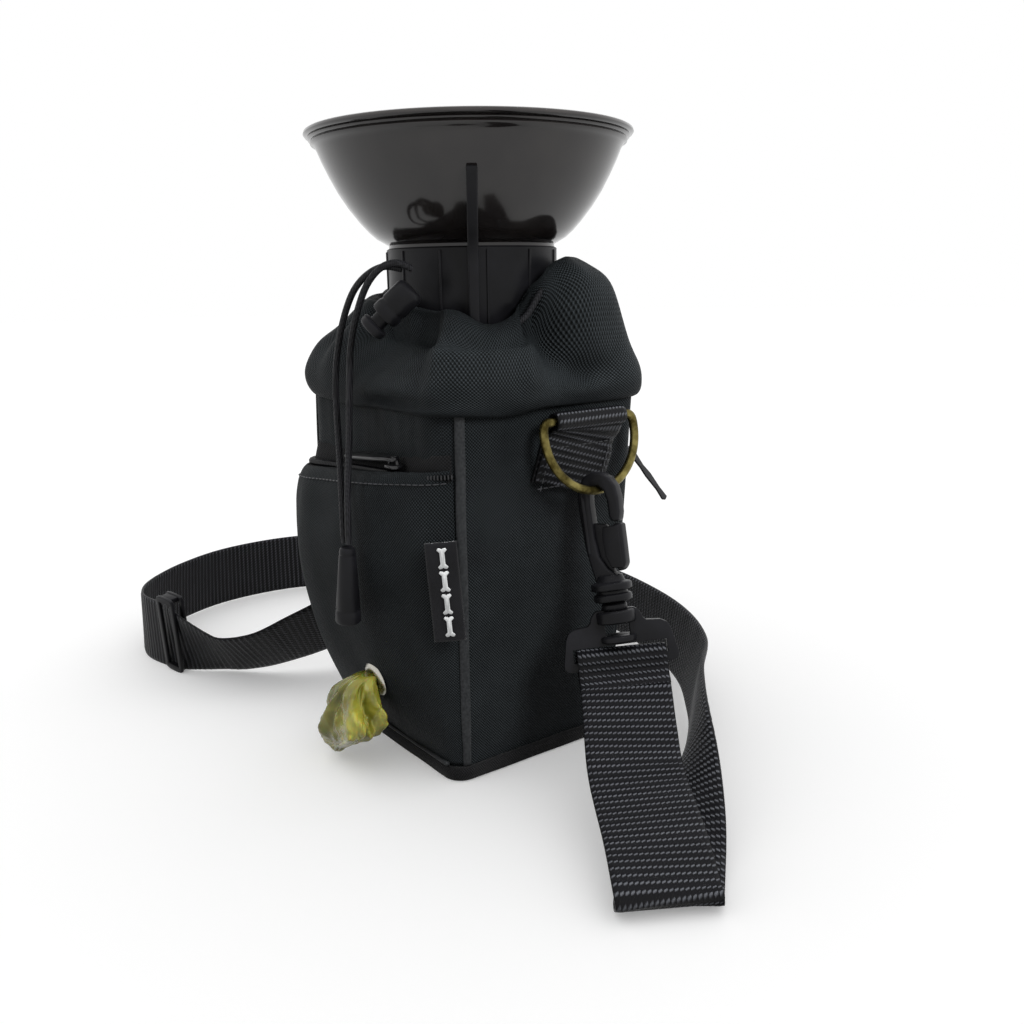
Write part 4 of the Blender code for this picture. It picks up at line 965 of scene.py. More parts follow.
def coil_tree(finish):
    """Geometry Nodes: the turns of a zip coil, one slanted loop each, along its tape."""
    tree = bpy.data.node_groups.new("coil_turns", "GeometryNodeTree")
    face = tree.interface
    face.new_socket("Geometry", in_out="INPUT", socket_type="NodeSocketGeometry")
    for label, value in (("Turn step", 1.3 * MM), ("Turn radius", 1.15 * MM), ("Wire radius", 0.42 * MM)):
        face.new_socket(label, in_out="INPUT", socket_type="NodeSocketFloat").default_value = value
    face.new_socket("Geometry", in_out="OUTPUT", socket_type="NodeSocketGeometry")
    given = add(tree, "NodeGroupInput")
    spaced = add(tree, "GeometryNodeResampleCurve", None,
                 {"Curve": given.outputs[0], "Length": given.outputs["Turn step"]},
                 mode="LENGTH")
    ring = add(tree, "GeometryNodeCurvePrimitiveCircle", {"Resolution": 8},
               {"Radius": given.outputs["Turn radius"]})
    wire = add(tree, "GeometryNodeCurvePrimitiveCircle", {"Resolution": 5},
               {"Radius": given.outputs["Wire radius"]})
    turn = add(tree, "GeometryNodeCurveToMesh", None, {0: ring.outputs[0], 1: wire.outputs[0]})
    tangent = add(tree, "GeometryNodeInputTangent")
    facing = add(tree, "FunctionNodeAlignRotationToVector", None, {"Vector": tangent.outputs[0]}, axis="Z")
    laid = add(tree, "GeometryNodeInstanceOnPoints", None,
               {"Points": spaced.outputs[0], "Instance": turn.outputs[0], "Rotation": facing.outputs[0]})
    real = add(tree, "GeometryNodeRealizeInstances", None, {0: laid.outputs[0]})
    dressed = add(tree, "GeometryNodeSetMaterial", {"Material": finish}, {0: real.outputs[0]})
    add(tree, "NodeGroupOutput", None, {0: dressed.outputs[0]})
    return tree


def tape_strip(name, low_edge, high_edge, thick, finish):
    """A strip of tape between two edges given as point lists."""
    rows = [low_edge, [a.lerp(b, 0.5) for a, b in zip(low_edge, high_edge)], high_edge]
    strip = grid(name, rows, finish, maps=lambda i, j: (j * 1.5 * MM, i * 4 * MM))
    return cloth(strip, thick)


def front_zip(coils, thread):
    """The pocket's zip: two tapes, two coils that mesh, the slider and its long puller."""
    half, _ = body_size(130 * MM)
    wall = -half.y - 0.3 * MM
    shares = [0.006 + 0.988 * k / 60 for k in range(61)]

    def between(share, out, z):
        """A point over the pocket's mouth: out is 0 at the pouch wall and 1 at the pocket's edge."""
        edge = pocket_point(share, POCKET_PROFILE[-1][0] * MM)
        back, facing = outline_point(edge.z, POCKET_LEFT + POCKET_SPAN * share)
        place = (back + facing * 0.4 * MM).lerp(edge, out)
        return Vector((place.x, place.y, z * MM + (5.5 * share - 2.2) * MM))
    lower = tape_strip("zip_tape_front", [between(k, 0.97, 131.0) for k in shares],
                       [between(k, 0.58, 132.4) for k in shares], 0.6 * MM, finish_of(grosgrain_tape))
    upper = tape_strip("zip_tape_back", [between(k, 0.42, 132.4) for k in shares],
                       [between(k, 0.0, 142.0) for k in shares], 0.6 * MM, finish_of(grosgrain_tape))
    for obj, node in ((lower, "pocket_zip_tape_lower"), (upper, "pocket_zip_tape_upper")):
        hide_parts(node)
        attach(obj, "root")
    for name, out, node in (("coil_front", 0.60, "pocket_zip_coil_lower"),
                            ("coil_back", 0.42, "pocket_zip_coil_upper")):
        line = [between(k, out, 133.3) for k in shares]
        coil = from_nodes(curve_of(name, [line]), coils)
        coil.data.shade_smooth()
        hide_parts(node)
        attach(coil, "root")
    at = Vector((24 * MM, wall - 4.75 * MM, 138.4 * MM))
    outline = mm_outline(((-5, -1.2), (-3.5, -2.6), (3.2, -2.9), (5.4, -1.7), (5.4, 1.7), (3.2, 2.9),
                          (-3.5, 2.6), (-5, 1.2)))
    flat = placed(at, (1, 0, 0.06), (0, 1, 0.12))
    plate = slab("slider_plate", outline, 1.5 * MM, finish_of(nylon_coil), flat, 0.4 * MM)
    bridge = rod("slider_bridge", smooth_route([at + Vector((x, 0, z)) * MM for x, z in
                                                ((-3.4, 0.4), (-2.6, 2.5), (0, 3.3), (2.6, 2.5),
                                                 (3.4, 0.4))], 4),
                 0.75 * MM, finish_of(nylon_coil), 10)
    slider = joined("front_slider", [plate, bridge])
    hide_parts("pocket_zip_slider")
    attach(slider, "pocket_slider")
    pull = mm_outline(((2.6, -1.9), (3.4, 0), (2.6, 1.9), (-6, 1.6), (-12, 2.3), (-38, 2.9), (-41, 2.0),
                       (-41.6, 0), (-41, -2.0), (-38, -2.9), (-12, -2.3), (-6, -1.6)))
    eye = [(1.2 * MM * cos(a) + 0.6 * MM, 1.0 * MM * sin(a)) for a in [2 * pi * k / 12 for k in range(12)]]
    lying = placed(at + Vector((0, -0.6, 3.0)) * MM, (1, 0, 0.10), (0, 1, 0.25))
    puller = slab("front_puller", pull, 1.7 * MM, finish_of(nylon_coil), lying, 0.6 * MM, [eye])
    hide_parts("pocket_zip_puller")
    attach(puller, "pocket_puller")
    top = [pocket_point(0.04 + 0.93 * k / 90, 128.5 * MM, 0.35 * MM) for k in range(91)]
    stitches("pocket_top_stitches", [top], thread, "root")


def webbing_band(name, stations, wide=WEB_WIDE):
    """A closed band of ribbed webbing through (middle, across) stations: floats stand up on both faces."""
    middles, ways = [m for m, _ in stations], [w for _, w in stations]
    run = along_route(middles)
    count = max(int(run[-1] / (RIB_LONG / 4)), 2)
    columns = round(wide / RIB_WIDE) + 1
    rows, k = [], 0
    for i in range(count + 1):
        at = run[-1] * i / count
        while k < len(run) - 2 and run[k + 1] < at:
            k += 1
        t = (at - run[k]) / (run[k + 1] - run[k])
        middle = middles[k].lerp(middles[k + 1], t)
        way = (middles[min(k + 2, len(middles) - 1)] - middles[max(k - 1, 0)]).normalized()
        across = ways[k].lerp(ways[k + 1], t)
        across = (across - way * across.dot(way)).normalized()
        face = way.cross(across)
        row = []
        for side in (1, -1):
            for j in range(columns):
                u = (j / (columns - 1) - 0.5) * side
                rise = cos(2 * pi * at / RIB_LONG)
                edge = 1 - ramp(abs(u), 0.46, 0.5)
                lift = side * (WEB_THICK / 2 - 0.35 * MM * (1 - edge) + RIB_DEEP * rise * edge * 0.5)
                row.append(middle + across * (u * wide) + face * lift)
        rows.append(row)

    def maps(i, j):
        j %= 2 * columns
        u = j if j < columns else 2 * columns - 1 - j
        return (u * RIB_WIDE, run[-1] * i / count)
    band = grid(name, rows, finish_of(polypropylene_webbing), around=True, maps=maps)
    close_ends(band)
    return band


def lifted_strap():
    """The strap's stations, raised where an edge would reach the floor."""
    stations = []
    middles = smooth_route([Vector(p) for p, _ in STRAP], 6)
    ways = smooth_route([w for _, w in STRAP], 6)
    for k, (middle, way) in enumerate(zip(middles, ways)):
        run = (middles[min(k + 1, len(middles) - 1)] - middles[max(k - 1, 0)]).normalized()
        across = (way - run * way.dot(run)).normalized()
        reach = abs(across.z) * WEB_WIDE / 2 + abs(run.cross(across).z) * WEB_THICK / 2
        stations.append((Vector((middle.x * MM, middle.y * MM, max(middle.z * MM, reach + 0.5 * MM))),
                         across))
    return stations


def shoulder_strap():
    """The long strap, and its sewn-back ends through the hook plates."""
    stations = lifted_strap()
    strap = webbing_band("strap_webbing", stations[2:-2])
    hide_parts("shoulder_strap")
    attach(strap, "root")
    for name, side, ends in (("right", 1, stations[:14]), ("left", -1, stations[:-15:-1])):
        across = ends[0][1]
        way = (ends[3][0] - ends[0][0]).normalized()
        face = way.cross(across).normalized()
        if face.z < 0:
            face = -face
        foot, lean = plate_foot(side)
        bar = foot - lean * PLATE_BAR
        wrap = [bar + (face * cos(a) - way * sin(a)) * TURN_REACH for a in [pi * k / 8 for k in range(9)]]
        line = [ends[3][0] + way * 6 * MM + face * 0.25 * MM, ends[3][0] + face * 0.9 * MM] + wrap \
            + [bar + way * 6 * MM - face * 3.4 * MM, ends[3][0] + way * 9 * MM - face * 1.9 * MM]
        turn = webbing_band(f"strap_turn_{name}", [(m, across) for m in smooth_route(line, 4)])
        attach(turn, "root")


def plate_foot(side):
    """The plate's origin at the foot of the hook, and the way it leans."""
    lean = Vector((side * HOOK_LEAN.x, HOOK_LEAN.y, HOOK_LEAN.z))
    bottom = Vector((side * (RING_OUT + RING_DROP * sin(RING_TILT)), TAB_Y,
                     RING_BAR_Z - RING_DROP * cos(RING_TILT)))
    return bottom - lean * HOOK_EYE, lean


def hook_turn(side, flat):
    foot, lean = plate_foot(side)
    across = Vector((side * flat.x, flat.y, 0))
    if side < 0:
        across = -across
    return placed(foot, across, lean)


def snap_hook(side, name):
    """The moulded swivel hook: spine and eye, sprung gate, barrel, swivel pin and stepped strap plate."""
    turn = hook_turn(side, HOOK_FLAT)
    spine = mm_outline(((-5.4, 19), (-6.4, 24), (-7.6, 30), (-8.6, 36), (-9.3, 50), (-9.2, 58), (-8.0, 63),
                        (-5.2, 66.6), (-1, 68.3), (3.4, 67.6), (7.0, 65.0), (9.2, 61), (9.8, 56), (9.6, 50),
                        (8.6, 46.2), (5.6, 46.2), (4.4, 48.5), (4.4, 55), (3.4, 59.5), (1.2, 62),
                        (-1.2, 61.8), (-3.2, 59.5), (-3.7, 55), (-3.6, 40), (-2.6, 32), (0.6, 27),
                        (4.6, 23.6), (5.0, 19)))
    body = slab(f"hook_spine_{name}", spine, 6.2 * MM, finish_of(acetal), turn, 1.5 * MM, segments=4)
    rib = slab(f"hook_rib_{name}", mm_outline(((-7.6, 34), (-6.0, 33), (-5.6, 44), (-5.7, 56), (-6.6, 60),
                                               (-7.8, 57))),
               7.4 * MM, finish_of(acetal), turn, 0.7 * MM)
    barrel = lathe(f"hook_barrel_{name}", mm_outline(((0, 12.6), (6.4, 12.6), (7.9, 13.0), (8.2, 13.6),
                                                      (8.2, 15.4), (7.8, 16.0), (6.7, 16.2), (6.6, 17.4),
                                                      (8.2, 17.6), (8.7, 18.2), (8.7, 20.2), (8.2, 20.8),
                                                      (6.2, 21.2), (5.2, 24.0), (0, 24.5))),
                   finish_of(acetal), 64, turn, 0.25 * MM)
    web = slab(f"hook_web_{name}", mm_outline(((-4.4, 25), (2.6, 25), (4.0, 34), (3.8, 43), (1.6, 45.6),
                                               (-4.4, 46.6))),
               2.6 * MM, finish_of(acetal), turn, 0.5 * MM)
    whole = joined(f"snap_hook_{name}", [body, rib, web, barrel])
    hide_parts(f"hook_body_{name}")
    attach(whole, f"hook_{name}")
    bars = [slab(f"hook_gate_bar_{name}", mm_outline(((5.2, 25.2), (7.4, 25.6), (9.2, 28), (9.4, 36),
                                                      (9.5, 45.4), (5.4, 45.4), (5.2, 44), (5.0, 38),
                                                      (5.0, 30))),
                 5.6 * MM, finish_of(acetal), turn, 1.3 * MM, segments=4)]
    for place in (-2.35, 2.35):
        bars.append(slab(f"hook_gate_cheek_{name}", mm_outline(((2.6, 27), (8.0, 26.6), (8.4, 44.6),
                                                                (1.0, 44.6), (0.2, 40), (0.6, 32))),
                         1.5 * MM, finish_of(acetal), turn @ Matrix.Translation((0, place * MM, 0)),
                         0.5 * MM))
    gate = joined(f"hook_gate_whole_{name}", bars)
    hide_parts(f"hook_gate_{name}")
    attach(gate, f"hook_gate_{name}")
    pin = lathe(f"swivel_neck_{name}", mm_outline(((0, 4.4), (3.2, 4.4), (3.2, 8.8), (5.2, 9.0), (5.5, 9.6),
                                                   (5.5, 11.4), (4.6, 12.2), (0, 12.4))), finish_of(acetal),
                48, turn, 0.2 * MM)
    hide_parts(f"swivel_pin_{name}")
    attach(pin, f"swivel_pin_{name}")
    flat = hook_turn(side, PLATE_FLAT)
    half = ((0, 9.4), (7.8, 9.4), (9.2, 8.6), (10.6, 6.6), (11.2, 4.6), (12.6, 3.4), (18.4, 2.8),
            (21.0, 1.4), (22.3, -1.2), (24.3, -11), (24.4, -13.2), (23.2, -14.6), (20.6, -15), (0, -15))
    outline = mm_outline(half + tuple((-x, z) for x, z in half[::-1] if x))
    slot = mm_outline(((-20, -11.2), (20, -11.2), (20, -5.6), (-20, -5.6)))
    window = mm_outline(((-5.2, -1.6), (5.2, -1.6), (5.2, 4.0), (-5.2, 4.0)))
    plate = slab(f"plate_{name}", outline, 4.0 * MM, finish_of(acetal), flat, 0.8 * MM, [slot, window])
    boss = lathe(f"plate_boss_{name}", mm_outline(((5.7, 3.6), (8.0, 3.6), (8.6, 4.2), (8.6, 8.2),
                                                   (8.0, 9.0), (5.7, 9.0))), finish_of(acetal), 64, turn,
                 0.2 * MM)
    foot = lathe(f"plate_foot_{name}", mm_outline(((0, -4.6), (7.2, -4.6), (7.8, -4.0), (7.8, -2.2),
                                                   (7.2, -1.6), (0, -1.6))), finish_of(acetal), 64, turn,
                 0.2 * MM)
    whole = joined(f"strap_plate_{name}", [plate, boss, foot])
    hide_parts(f"hook_plate_{name}")
    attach(whole, "root")


def tab_shift(z):
    """How far the tab's sewn foot has slipped towards the pouch's front."""
    return 8.5 * MM * (1 - min(max((z - 122 * MM) / (28 * MM), 0), 1))


def ring_and_tab(side, name, thread):
    """The brass D-ring, the webbing tab folded round its bar, and the tab's stitching."""
    turn = (Matrix.Translation((side * RING_OUT, TAB_Y, RING_BAR_Z))
            @ Matrix.Rotation(-side * RING_TILT, 4, "Y"))
    top = -6 * MM
    drop = RING_DROP + top
    path = [Vector((0, RING_HALF * cos(a), top - drop * sin(a))) for a in [pi * k / 64 for k in range(65)]]
    edge = RING_HALF / MM
    bar = ((-edge, -4), (0.6 - edge, -1.6), (2.3 - edge, -0.1), (5.5 - edge, 0.1), (-8, 0), (0, 0), (8, 0),
           (edge - 5.5, 0.1), (edge - 2.3, -0.1), (edge - 0.6, -1.6), (edge, -4))
    path += smooth_route([Vector((0, y, z)) * MM for y, z in bar], 4)
    ring = rod(f"brass_ring_{name}", [turn @ p for p in path], RING_WIRE, finish_of(antique_brass), 24,
               closed=True)
    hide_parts(f"d_ring_{name}")
    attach(ring, f"d_ring_{name}")
    wall_low, wall_top = body_size(126 * MM)[0].x + 1.6 * MM, body_size(146 * MM)[0].x + 1.6 * MM
    r = RING_WIRE + 1.3 * MM
    inner = [Vector((wall_low + 0.2 * MM, 0, 124.5 * MM)), Vector((wall_low + 0.5 * MM, 0, 131 * MM)),
             Vector((wall_top + 0.2 * MM, 0, 140 * MM)), Vector((wall_top + 0.6 * MM, 0, 148 * MM))]
    turned = [Vector((RING_OUT + r * cos(a), 0, RING_BAR_Z + r * sin(a)))
              for a in [radians(d) for d in range(150, -100, -18)]]
    outer = [Vector((RING_OUT - 0.4 * MM, 0, RING_BAR_Z - r - 2.0 * MM)),
             Vector((wall_top + 3.2 * MM, 0, 145.8 * MM)),
             Vector((wall_top + 2.6 * MM, 0, 140 * MM)), Vector((wall_low + 2.6 * MM, 0, 131 * MM)),
             Vector((wall_low + 2.4 * MM, 0, 124.5 * MM))]
    line = smooth_route(inner + turned + outer, 3)
    stations = [(Vector((side * p.x, TAB_Y - tab_shift(p.z), p.z)), Vector((0, 1, 0))) for p in line]
    tab = webbing_band(f"ring_tab_webbing_{name}", stations)
    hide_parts(f"ring_tab_{name}")
    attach(tab, "root")

    def on_tab(y, z):
        x = body_size(z * MM)[0].x + 5.2 * MM
        return Vector((side * x, TAB_Y + y * MM - tab_shift(z * MM), z * MM))
    rows = [[on_tab(y, 143.6) for y in range(-17, 18)], [on_tab(y, 127) for y in range(-17, 18)],
            [on_tab(-16.5, z) for z in range(127, 144)], [on_tab(16.5, z) for z in range(127, 144)]]
    stitches(f"tab_stitches_{name}", rows, thread, "root")


def tri_glide():
    """The strap adjuster: a moulded frame with two slots' worth of bar round the webbing."""
    stations = lifted_strap()
    at, across = stations[GLIDE_STATION]
    way = (stations[GLIDE_STATION + 1][0] - stations[GLIDE_STATION - 1][0]).normalized()
    turn = placed(at + across * 4 * MM, way, across)
    outline = mm_outline(((-7.2, -20), (-6.2, -22.4), (-4, -23), (4, -23), (6.2, -22.4), (7.2, -20),
                          (7.4, 0), (7.2, 20), (6.2, 22.4), (4, 23), (-4, 23), (-6.2, 22.4), (-7.2, 20),
                          (-7.4, 0)))
    hole = mm_outline(((-4.6, -19.5), (4.6, -19.5), (4.6, 19.5), (-4.6, 19.5)))
    parts = []
    for k, out in enumerate((-3.1, 3.1)):
        face = slab(f"glide_face_{k}", outline, 2.0 * MM, finish_of(acetal),
                    turn @ Matrix.Translation((0, out * MM, 0)), 0.6 * MM, [hole])
        parts.append(face)
    for k, end in enumerate((-21.2, 21.2)):
        parts.append(block(f"glide_end_{k}", (9 * MM, 6.4 * MM, 3 * MM), finish_of(acetal),
                           turn @ Matrix.Translation((0, 0, end * MM))))
    glide = joined("strap_glide", parts)
    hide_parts("tri_glide")
    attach(glide, "tri_glide")


# ---------------------------------------------------------------- bowl and bottle

def drinking_bowl():
    """The glossy bowl: a stepped lip with fine ridges, a flared wall, and a plain collar with two fins."""
    outside = ((37.3, 188), (37.6, 188.6), (37.6, 225.6), (36.6, 226.2), (36.6, 227.4), (38.4, 228.4),
               (41.6, 230.2), (44.8, 233), (48.4, 236.9), (53.2, 243.0), (57.4, 249.4), (61.0, 256.2),
               (63.9, 262.4), (65.6, 266.6), (66.6, 268.4), (68.0, 269.0), (68.3, 269.8), (67.9, 270.4),
               (69.0, 270.8), (69.3, 271.4), (68.9, 271.9), (70.3, 272.2), (70.9, 273.0), (70.6, 274.0),
               (69.8, 274.5))
    inside = ((68.6, 274.2), (67.2, 272.2), (65.2, 268.2), (61.6, 260.8), (57, 251.6), (51.6, 243.4),
              (45.8, 237), (36, 230.4), (10, 228), (2.2, 228), (2.2, 224.6), (32.6, 224.6), (32.6, 188))
    shell = lathe("bowl_shell", mm_outline(outside + inside), finish_of(glossy_polypropylene), 192)
    shell.data.set_sharp_from_angle(angle=radians(48))
    shell.data.materials.append(finish_of(acetal))
    for face in shell.data.polygons:
        if face.center.z < 226 * MM:
            face.material_index = 1
    parts = [shell]
    for side, turned in (("front", FIN_TURN), ("back", FIN_TURN + 180)):
        outline = mm_outline(((36.8, 190), (41.0, 190), (41.6, 191), (41.8, 196), (42.0, 218), (43.4, 224),
                              (46.8, 229.5), (52.0, 237.0), (57.6, 245.0), (61.4, 251.4), (62.2, 253.6),
                              (61.8, 255.0), (59.6, 254.6), (50, 241), (44, 234), (37, 229)))
        turn = Matrix.Rotation(radians(turned), 4, "Z")
        parts.append(slab(f"bowl_fin_{side}", outline, 4.4 * MM, finish_of(acetal), turn, 0.7 * MM))
    for k in range(12):
        turned = FIN_TURN + 9 + 30 * k
        rib = slab(f"collar_rib_{k}", mm_outline(((37.0, 189), (38.1, 189), (38.2, 224.8), (37.0, 224.8))),
                   1.0 * MM, finish_of(acetal), Matrix.Rotation(radians(turned), 4, "Z"), 0.3 * MM)
        parts.append(rib)
    bowl = joined("drinking_bowl", parts)
    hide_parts("bowl", "bowl_collar")
    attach(bowl, "bowl")


def cord_lock():
    """The round cord lock: a grooved barrel, its sprung button, and the spring inside."""
    axis = (LOCK_TAIL - LOCK_END).normalized()
    long = (LOCK_TAIL - LOCK_END).length / MM
    turn = placed(LOCK_END, (0, 0.6, -0.3), axis)
    barrel = lathe("lock_barrel", mm_outline(((3.7, 8), (5.5, 8), (6.0, 8.6), (6.0, 12), (5.6, 12.6),
                                              (5.6, 13.4), (6.0, 14), (6.0, long - 2), (5.4, long - 0.8),
                                              (4.4, long), (0, long), (0, long - 2), (3.7, long - 2))),
                   finish_of(acetal), 64, turn)
    button = lathe("lock_button", mm_outline(((0, 0), (4.0, 0), (5.0, 0.4), (5.6, 1.2), (5.7, 3.4),
                                              (5.0, 3.9), (3.3, 4.0), (3.3, 8.6), (0, 8.6))),
                   finish_of(acetal), 64, turn)
    line = [turn @ Vector((2.4 * MM * cos(a), 2.4 * MM * sin(a), (13.4 + (long - 16.2) * a / (10 * pi)) * MM))
            for a in [10 * pi * k / 160 for k in range(161)]]
    spring = rod("lock_spring", line, 0.4 * MM, finish_of(spring_wire), 8)
    for obj, node, body in ((barrel, "cord_lock_barrel", "cord_lock"),
                            (button, "cord_lock_button", "cord_lock_button"),
                            (spring, "cord_lock_spring", "cord_lock")):
        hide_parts(node)
        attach(obj, body)


# ---------------------------------------------------------------- bag, label and back

def eyelet():
    """The rolled ring eyelet in the pocket, with its washer behind."""
    turn = placed(EYELET_AT, (1, 0, 0), EYELET_AXIS)
    ring = lathe("rolled_eyelet", mm_outline(((3.6, -2.4), (4.1, -2.6), (4.4, -2.2), (4.4, 0.9), (6.6, 1.2),
                                              (7.8, 1.4), (8.1, 1.9), (7.7, 2.6), (6.6, 3.2), (5.2, 3.4),
                                              (4.2, 3.0), (3.6, 2.0))),
                 finish_of(nickel_plate), 72, turn)
    washer = lathe("eyelet_back", mm_outline(((4.8, -2.6), (7.4, -2.6), (7.4, -1.9), (4.8, -1.9))),
                   finish_of(nickel_plate), 48, turn)
    for obj, node in ((ring, "bag_eyelet"), (washer, "eyelet_washer")):
        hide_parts(node)
        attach(obj, "root")


def bag_tail():
    """The bag's end pulled out of the eyelet: a pinched neck that opens into crumpled folds."""
    stations = ((Vector((0, 7, 4)), 2.8, 2.4, 0), (Vector((-1, 0, 1.5)), 3.6, 3.0, 0),
                (Vector((-2, -4.5, 2.0)), 5.2, 4.4, 0.3), (Vector((-4.5, -8.4, -2.5)), 10.5, 6.6, 0.7),
                (Vector((-6, -10.4, -9)), 15.0, 8.0, 0.9), (Vector((-6.5, -11.4, -15)), 17.6, 8.8, 1.0),
                (Vector((-6, -12.0, -21)), 18.4, 8.6, 1.0), (Vector((-6.5, -12.6, -26)), 16.6, 7.6, 1.0),
                (Vector((-11.0, -13.4, -30.5)), 11.0, 5.6, 0.9),
                (Vector((-15.5, -14.0, -34.5)), 6.0, 3.4, 0.8),
                (Vector((-17.0, -14.4, -37.6)), 2.8, 1.8, 0.5))
    points = smooth_route([p for p, _, _, _ in stations], 7)
    sizes = smooth_route([(w, d, c) for _, w, d, c in stations], 7)
    around, rows = 132, []
    for i, (at, size) in enumerate(zip(points, sizes)):
        row = []
        for j in range(around):
            a = 2 * pi * j / around
            fold = sin(5 * a + 1.2 * sin(i * 0.11)) * 0.16 + sin(11 * a + i * 0.09
                                                                 + 2) * 0.10 + sin(3 * a - i * 0.05) * 0.12
            crush = 0.34 * wander(3.2 * cos(a), 3.2 * sin(a), i * 0.075, 1,
                                  1.7) + 0.18 * abs(wander(7 * cos(a), 7 * sin(a), i * 0.2, 1, 5))
            grow = 1 + size.z * (fold + crush)
            across, back = size.x * cos(a) * grow, size.y * sin(a) * grow
            row.append(EYELET_AT + (at + Vector((across, back, 0.22 * across * size.z))) * MM)
        rows.append(row)
    tail = grid("bag_film", rows, finish_of(polyethylene_film), around=True,
                maps=lambda i, j: (j * 0.3 * MM, i * 0.6 * MM))
    close_ends(tail)
    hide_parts("bag_tail")
    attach(tail, "bag_tail")


def label_motif(turn, finish):
    """A generic woven motif of small bones down the label."""
    parts = []
    for k, z in enumerate((-14.4, -4.8, 4.8, 14.4)):
        shape = mm_outline(((-1.0, -2.4), (-2.1, -3.5), (-1.5, -4.4), (-0.5, -4.2), (0, -3.8), (0.5, -4.2),
                            (1.5, -4.4), (2.1, -3.5), (1.0, -2.4), (1.0, 2.4), (2.1, 3.5), (1.5, 4.4),
                            (0.5, 4.2), (0, 3.8), (-0.5, 4.2), (-1.5, 4.4), (-2.1, 3.5), (-1.0, 2.4)))
        parts.append(slab(f"label_bone_{k}", shape, 0.5 * MM, finish,
                          turn @ Matrix.Translation((0.3 * MM, -0.62 * MM, z * MM)),
                          0.15 * MM, segments=1))
    return joined("label_motif", parts)


def woven_label(thread):
    """The folded black label standing out of the front right seam."""
    half, _ = body_size(LABEL_Z)
    at = Vector((half.x + 2.6 * MM, -half.y - 2.6 * MM, LABEL_Z))
    turn = Matrix.Translation(at) @ Matrix.Rotation(radians(53), 4,
                                                    "Z") @ Matrix.Rotation(radians(-4), 4, "Y")
    rows = []
    for i in range(43):
        up = (-20.8 + 41.6 * i / 42) * MM
        row = []
        for j in range(13):
            x = (-6.6 + 13.2 * j / 12) * MM
            bow = 0.7 * MM * cos(x / MM / 5.0) + 0.25 * MM * sin(up / MM / 5)
            row.append(turn @ Vector((x, -bow + 0.4 * MM, up)))
        rows.append(row)
    label = grid("seam_label", rows, finish_of(woven, "satin_label", "050506", "121214", 0.7 * MM, 0.08 * MM,
                                               0.5, 0.1),
                 maps=lambda i, j: (j * 1.1 * MM, i * MM))
    label = cloth(label, 0.9 * MM)
    motif = label_motif(turn, finish_of(sewing_thread, "label_thread", "6c6d6d", "929393"))
    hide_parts("woven_label")
    for obj in (label, motif):
        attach(obj, "root")


def flat_panel(name, low, high, wide, thick, finish, grow):
    """A sewn panel on the back wall between two heights, a little full in the middle."""
    rows = []
    for i in range(49):
        z = low + (high - low) * i / 48
        row = []
        for j in range(61):
            x = wide * (j / 60 - 0.5)
            full = sin(pi * j / 60) ** 0.4 * sin(pi * i / 48) ** 0.4 if 0 < i < 48 and 0 < j < 60 else 0
            lift = grow + thick * full + 0.5 * MM * wander(x * 30, z * 30, 0, 1, 3) * full
            row.append(Vector((x, body_size(z)[0].y + lift, z)))
        rows.append(row[::-1])
    panel = grid(name, rows, finish, maps=lambda i, j: (j / 60 * wide, i / 48 * (high - low)))
    return cloth(panel, 1.0 * MM)


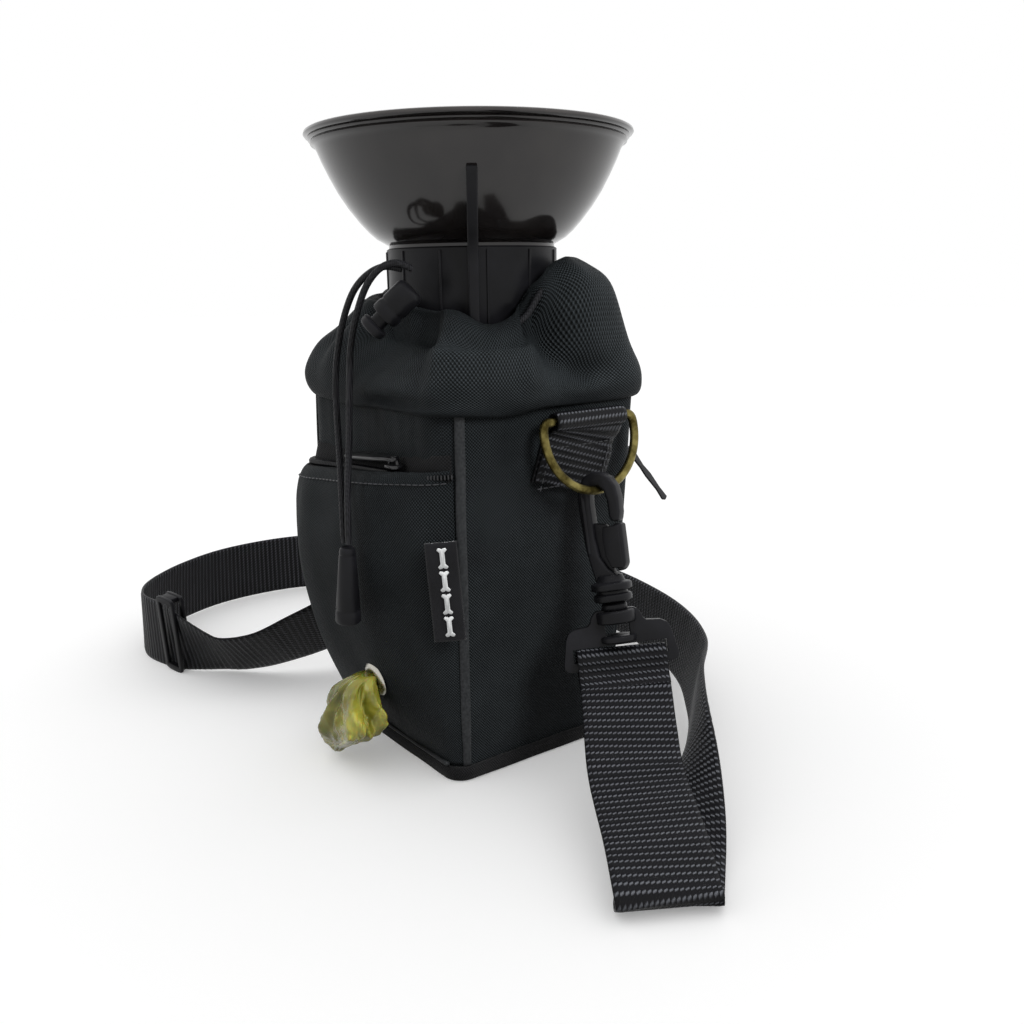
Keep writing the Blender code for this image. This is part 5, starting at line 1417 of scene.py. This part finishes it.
def back_pocket(coils, thread):
    """The flat zipped pocket on the back, its zip, slider and hanging puller."""
    panel = flat_panel("rear_pocket_cloth", 21 * MM, 127 * MM, BACK_WIDE, 2.2 * MM,
                       finish_of(oxford_polyester), 1.8 * MM)
    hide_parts("rear_pocket")
    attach(panel, "root")

    def wall(x, z, out):
        return Vector((x * MM, body_size(z * MM)[0].y + out * MM, z * MM))
    border = [[wall(x, 24, 3.4) for x in range(-40, 41, 2)], [wall(-40, z, 3.3) for z in range(24, 126, 2)],
              [wall(40, z, 3.3) for z in range(24, 126, 2)], [wall(x, 125, 3.4) for x in range(-40, 41, 2)]]
    stitches("rear_pocket_stitches", border, thread, "root")
    tapes = [flat_panel("rear_tape_low", 127.4 * MM, 132.2 * MM, BACK_WIDE, 0.2 * MM,
                        finish_of(grosgrain_tape), 2.4 * MM),
             flat_panel("rear_tape_high", 133.8 * MM, 139.5 * MM, BACK_WIDE, 0.2 * MM,
                        finish_of(grosgrain_tape), 2.4 * MM)]
    lines = [[wall(x, z, 2.6) for x in range(-41, 42)] for z in (132.4, 133.7)]
    coil = from_nodes(curve_of("rear_coil", lines), coils)
    coil.data.shade_smooth()
    zip_whole = joined("rear_zip_tapes", tapes + [coil])
    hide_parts("rear_zip")
    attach(zip_whole, "root")
    at = Vector((34 * MM, body_size(BACK_ZIP_Z)[0].y + 4.3 * MM, BACK_ZIP_Z))
    plate = slab("rear_slider_plate", mm_outline(((-4.5, -2.4), (-2.8, -3.6), (3.2, -3.8), (4.6, -2.6),
                                                  (4.6, 2.6), (3.2, 3.8), (-2.8, 3.6), (-4.5, 2.4))),
                 1.8 * MM, finish_of(nylon_coil), Matrix.Translation(at), 0.5 * MM)
    bridge = rod("rear_slider_bridge", smooth_route([at + Vector((x, y, 0)) * MM for x, y in
                                                     ((-3.2, 0.4), (-1.5, 2.0), (2.5, 2.4), (5.0, 1.8),
                                                      (5.4, 0.2))], 4),
                 0.8 * MM, finish_of(nylon_coil), 10)
    slider = joined("rear_slider", [plate, bridge])
    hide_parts("rear_zip_slider")
    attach(slider, "rear_slider")
    pin = Vector((39.5 * MM, body_size(BACK_ZIP_Z)[0].y + 7.3 * MM, BACK_ZIP_Z))
    hang = Vector((0.63, 0.2, -0.75)).normalized()
    pull = mm_outline(((-1.1, 2.4), (1.1, 2.4), (1.5, -3), (1.0, -9), (1.6, -14), (1.2, -22), (1.5, -27.4),
                       (0, -28.4), (-1.5, -27.4), (-1.0, -22), (-1.5, -14), (-1.2, -9), (-1.5, -3)))
    puller = slab("rear_puller", pull, 1.4 * MM, finish_of(nylon_coil), placed(pin, (0.3, 0.95, 0), -hang),
                  0.4 * MM)
    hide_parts("rear_zip_puller")
    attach(puller, "rear_puller")


def belt_loop(thread):
    """A webbing loop over the rear pocket, bowed clear of the wall for a belt."""
    z_mid = 148.75 * MM
    wall = body_size(156.5 * MM)[0].y
    line = [Vector((x * MM, wall + out * MM, z_mid)) for x, out in
            ((-39.5, 1.4), (-37.5, 2.0), (-36.2, 6.6), (-33, 8.3), (-20, 8.5), (-2, 8.6), (16, 8.5),
             (29, 8.3), (32.2, 6.6), (33.5, 2.0), (35.5, 1.4))]
    band = webbing_band("belt_loop_webbing", [(p, Vector((0, 0, 1))) for p in smooth_route(line, 4)],
                        wide=15.2 * MM)
    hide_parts("belt_loop")
    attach(band, "root")


def dress_cad():
    """The carried-over CAD solids get their real finishes."""
    for nodes, maker in ((("bottle", "water_tube"), satin_polyethylene), (("bottle_seal",), silicone_rubber),
                         (("lining",), nylon_lining), (("roll_core",), grey_card),
                         (("bag_roll",), polyethylene_film)):
        for node in nodes:
            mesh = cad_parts[node].data
            mesh.materials.clear()
            mesh.materials.append(finish_of(maker))


def main():
    camera()
    studio()
    drawcord_tails()
    thread = stitch_tree("seam_stitches", finish_of(sewing_thread, "seam_thread", "141415", "26272a"))
    coils = coil_tree(finish_of(nylon_coil))
    pouch_body()
    base_tape()
    seam_piping("right", 0.0)
    seam_piping("left", 0.75)
    drawstring_cuff()
    pocket()
    pocket_piping()
    front_zip(coils, thread)
    for side, name in ((1, "right"), (-1, "left")):
        ring_and_tab(side, name, thread)
        snap_hook(side, name)
    shoulder_strap()
    tri_glide()
    drinking_bowl()
    cord_lock()
    eyelet()
    bag_tail()
    woven_label(thread)
    back_pocket(coils, thread)
    belt_loop(thread)
    dress_cad()


main()
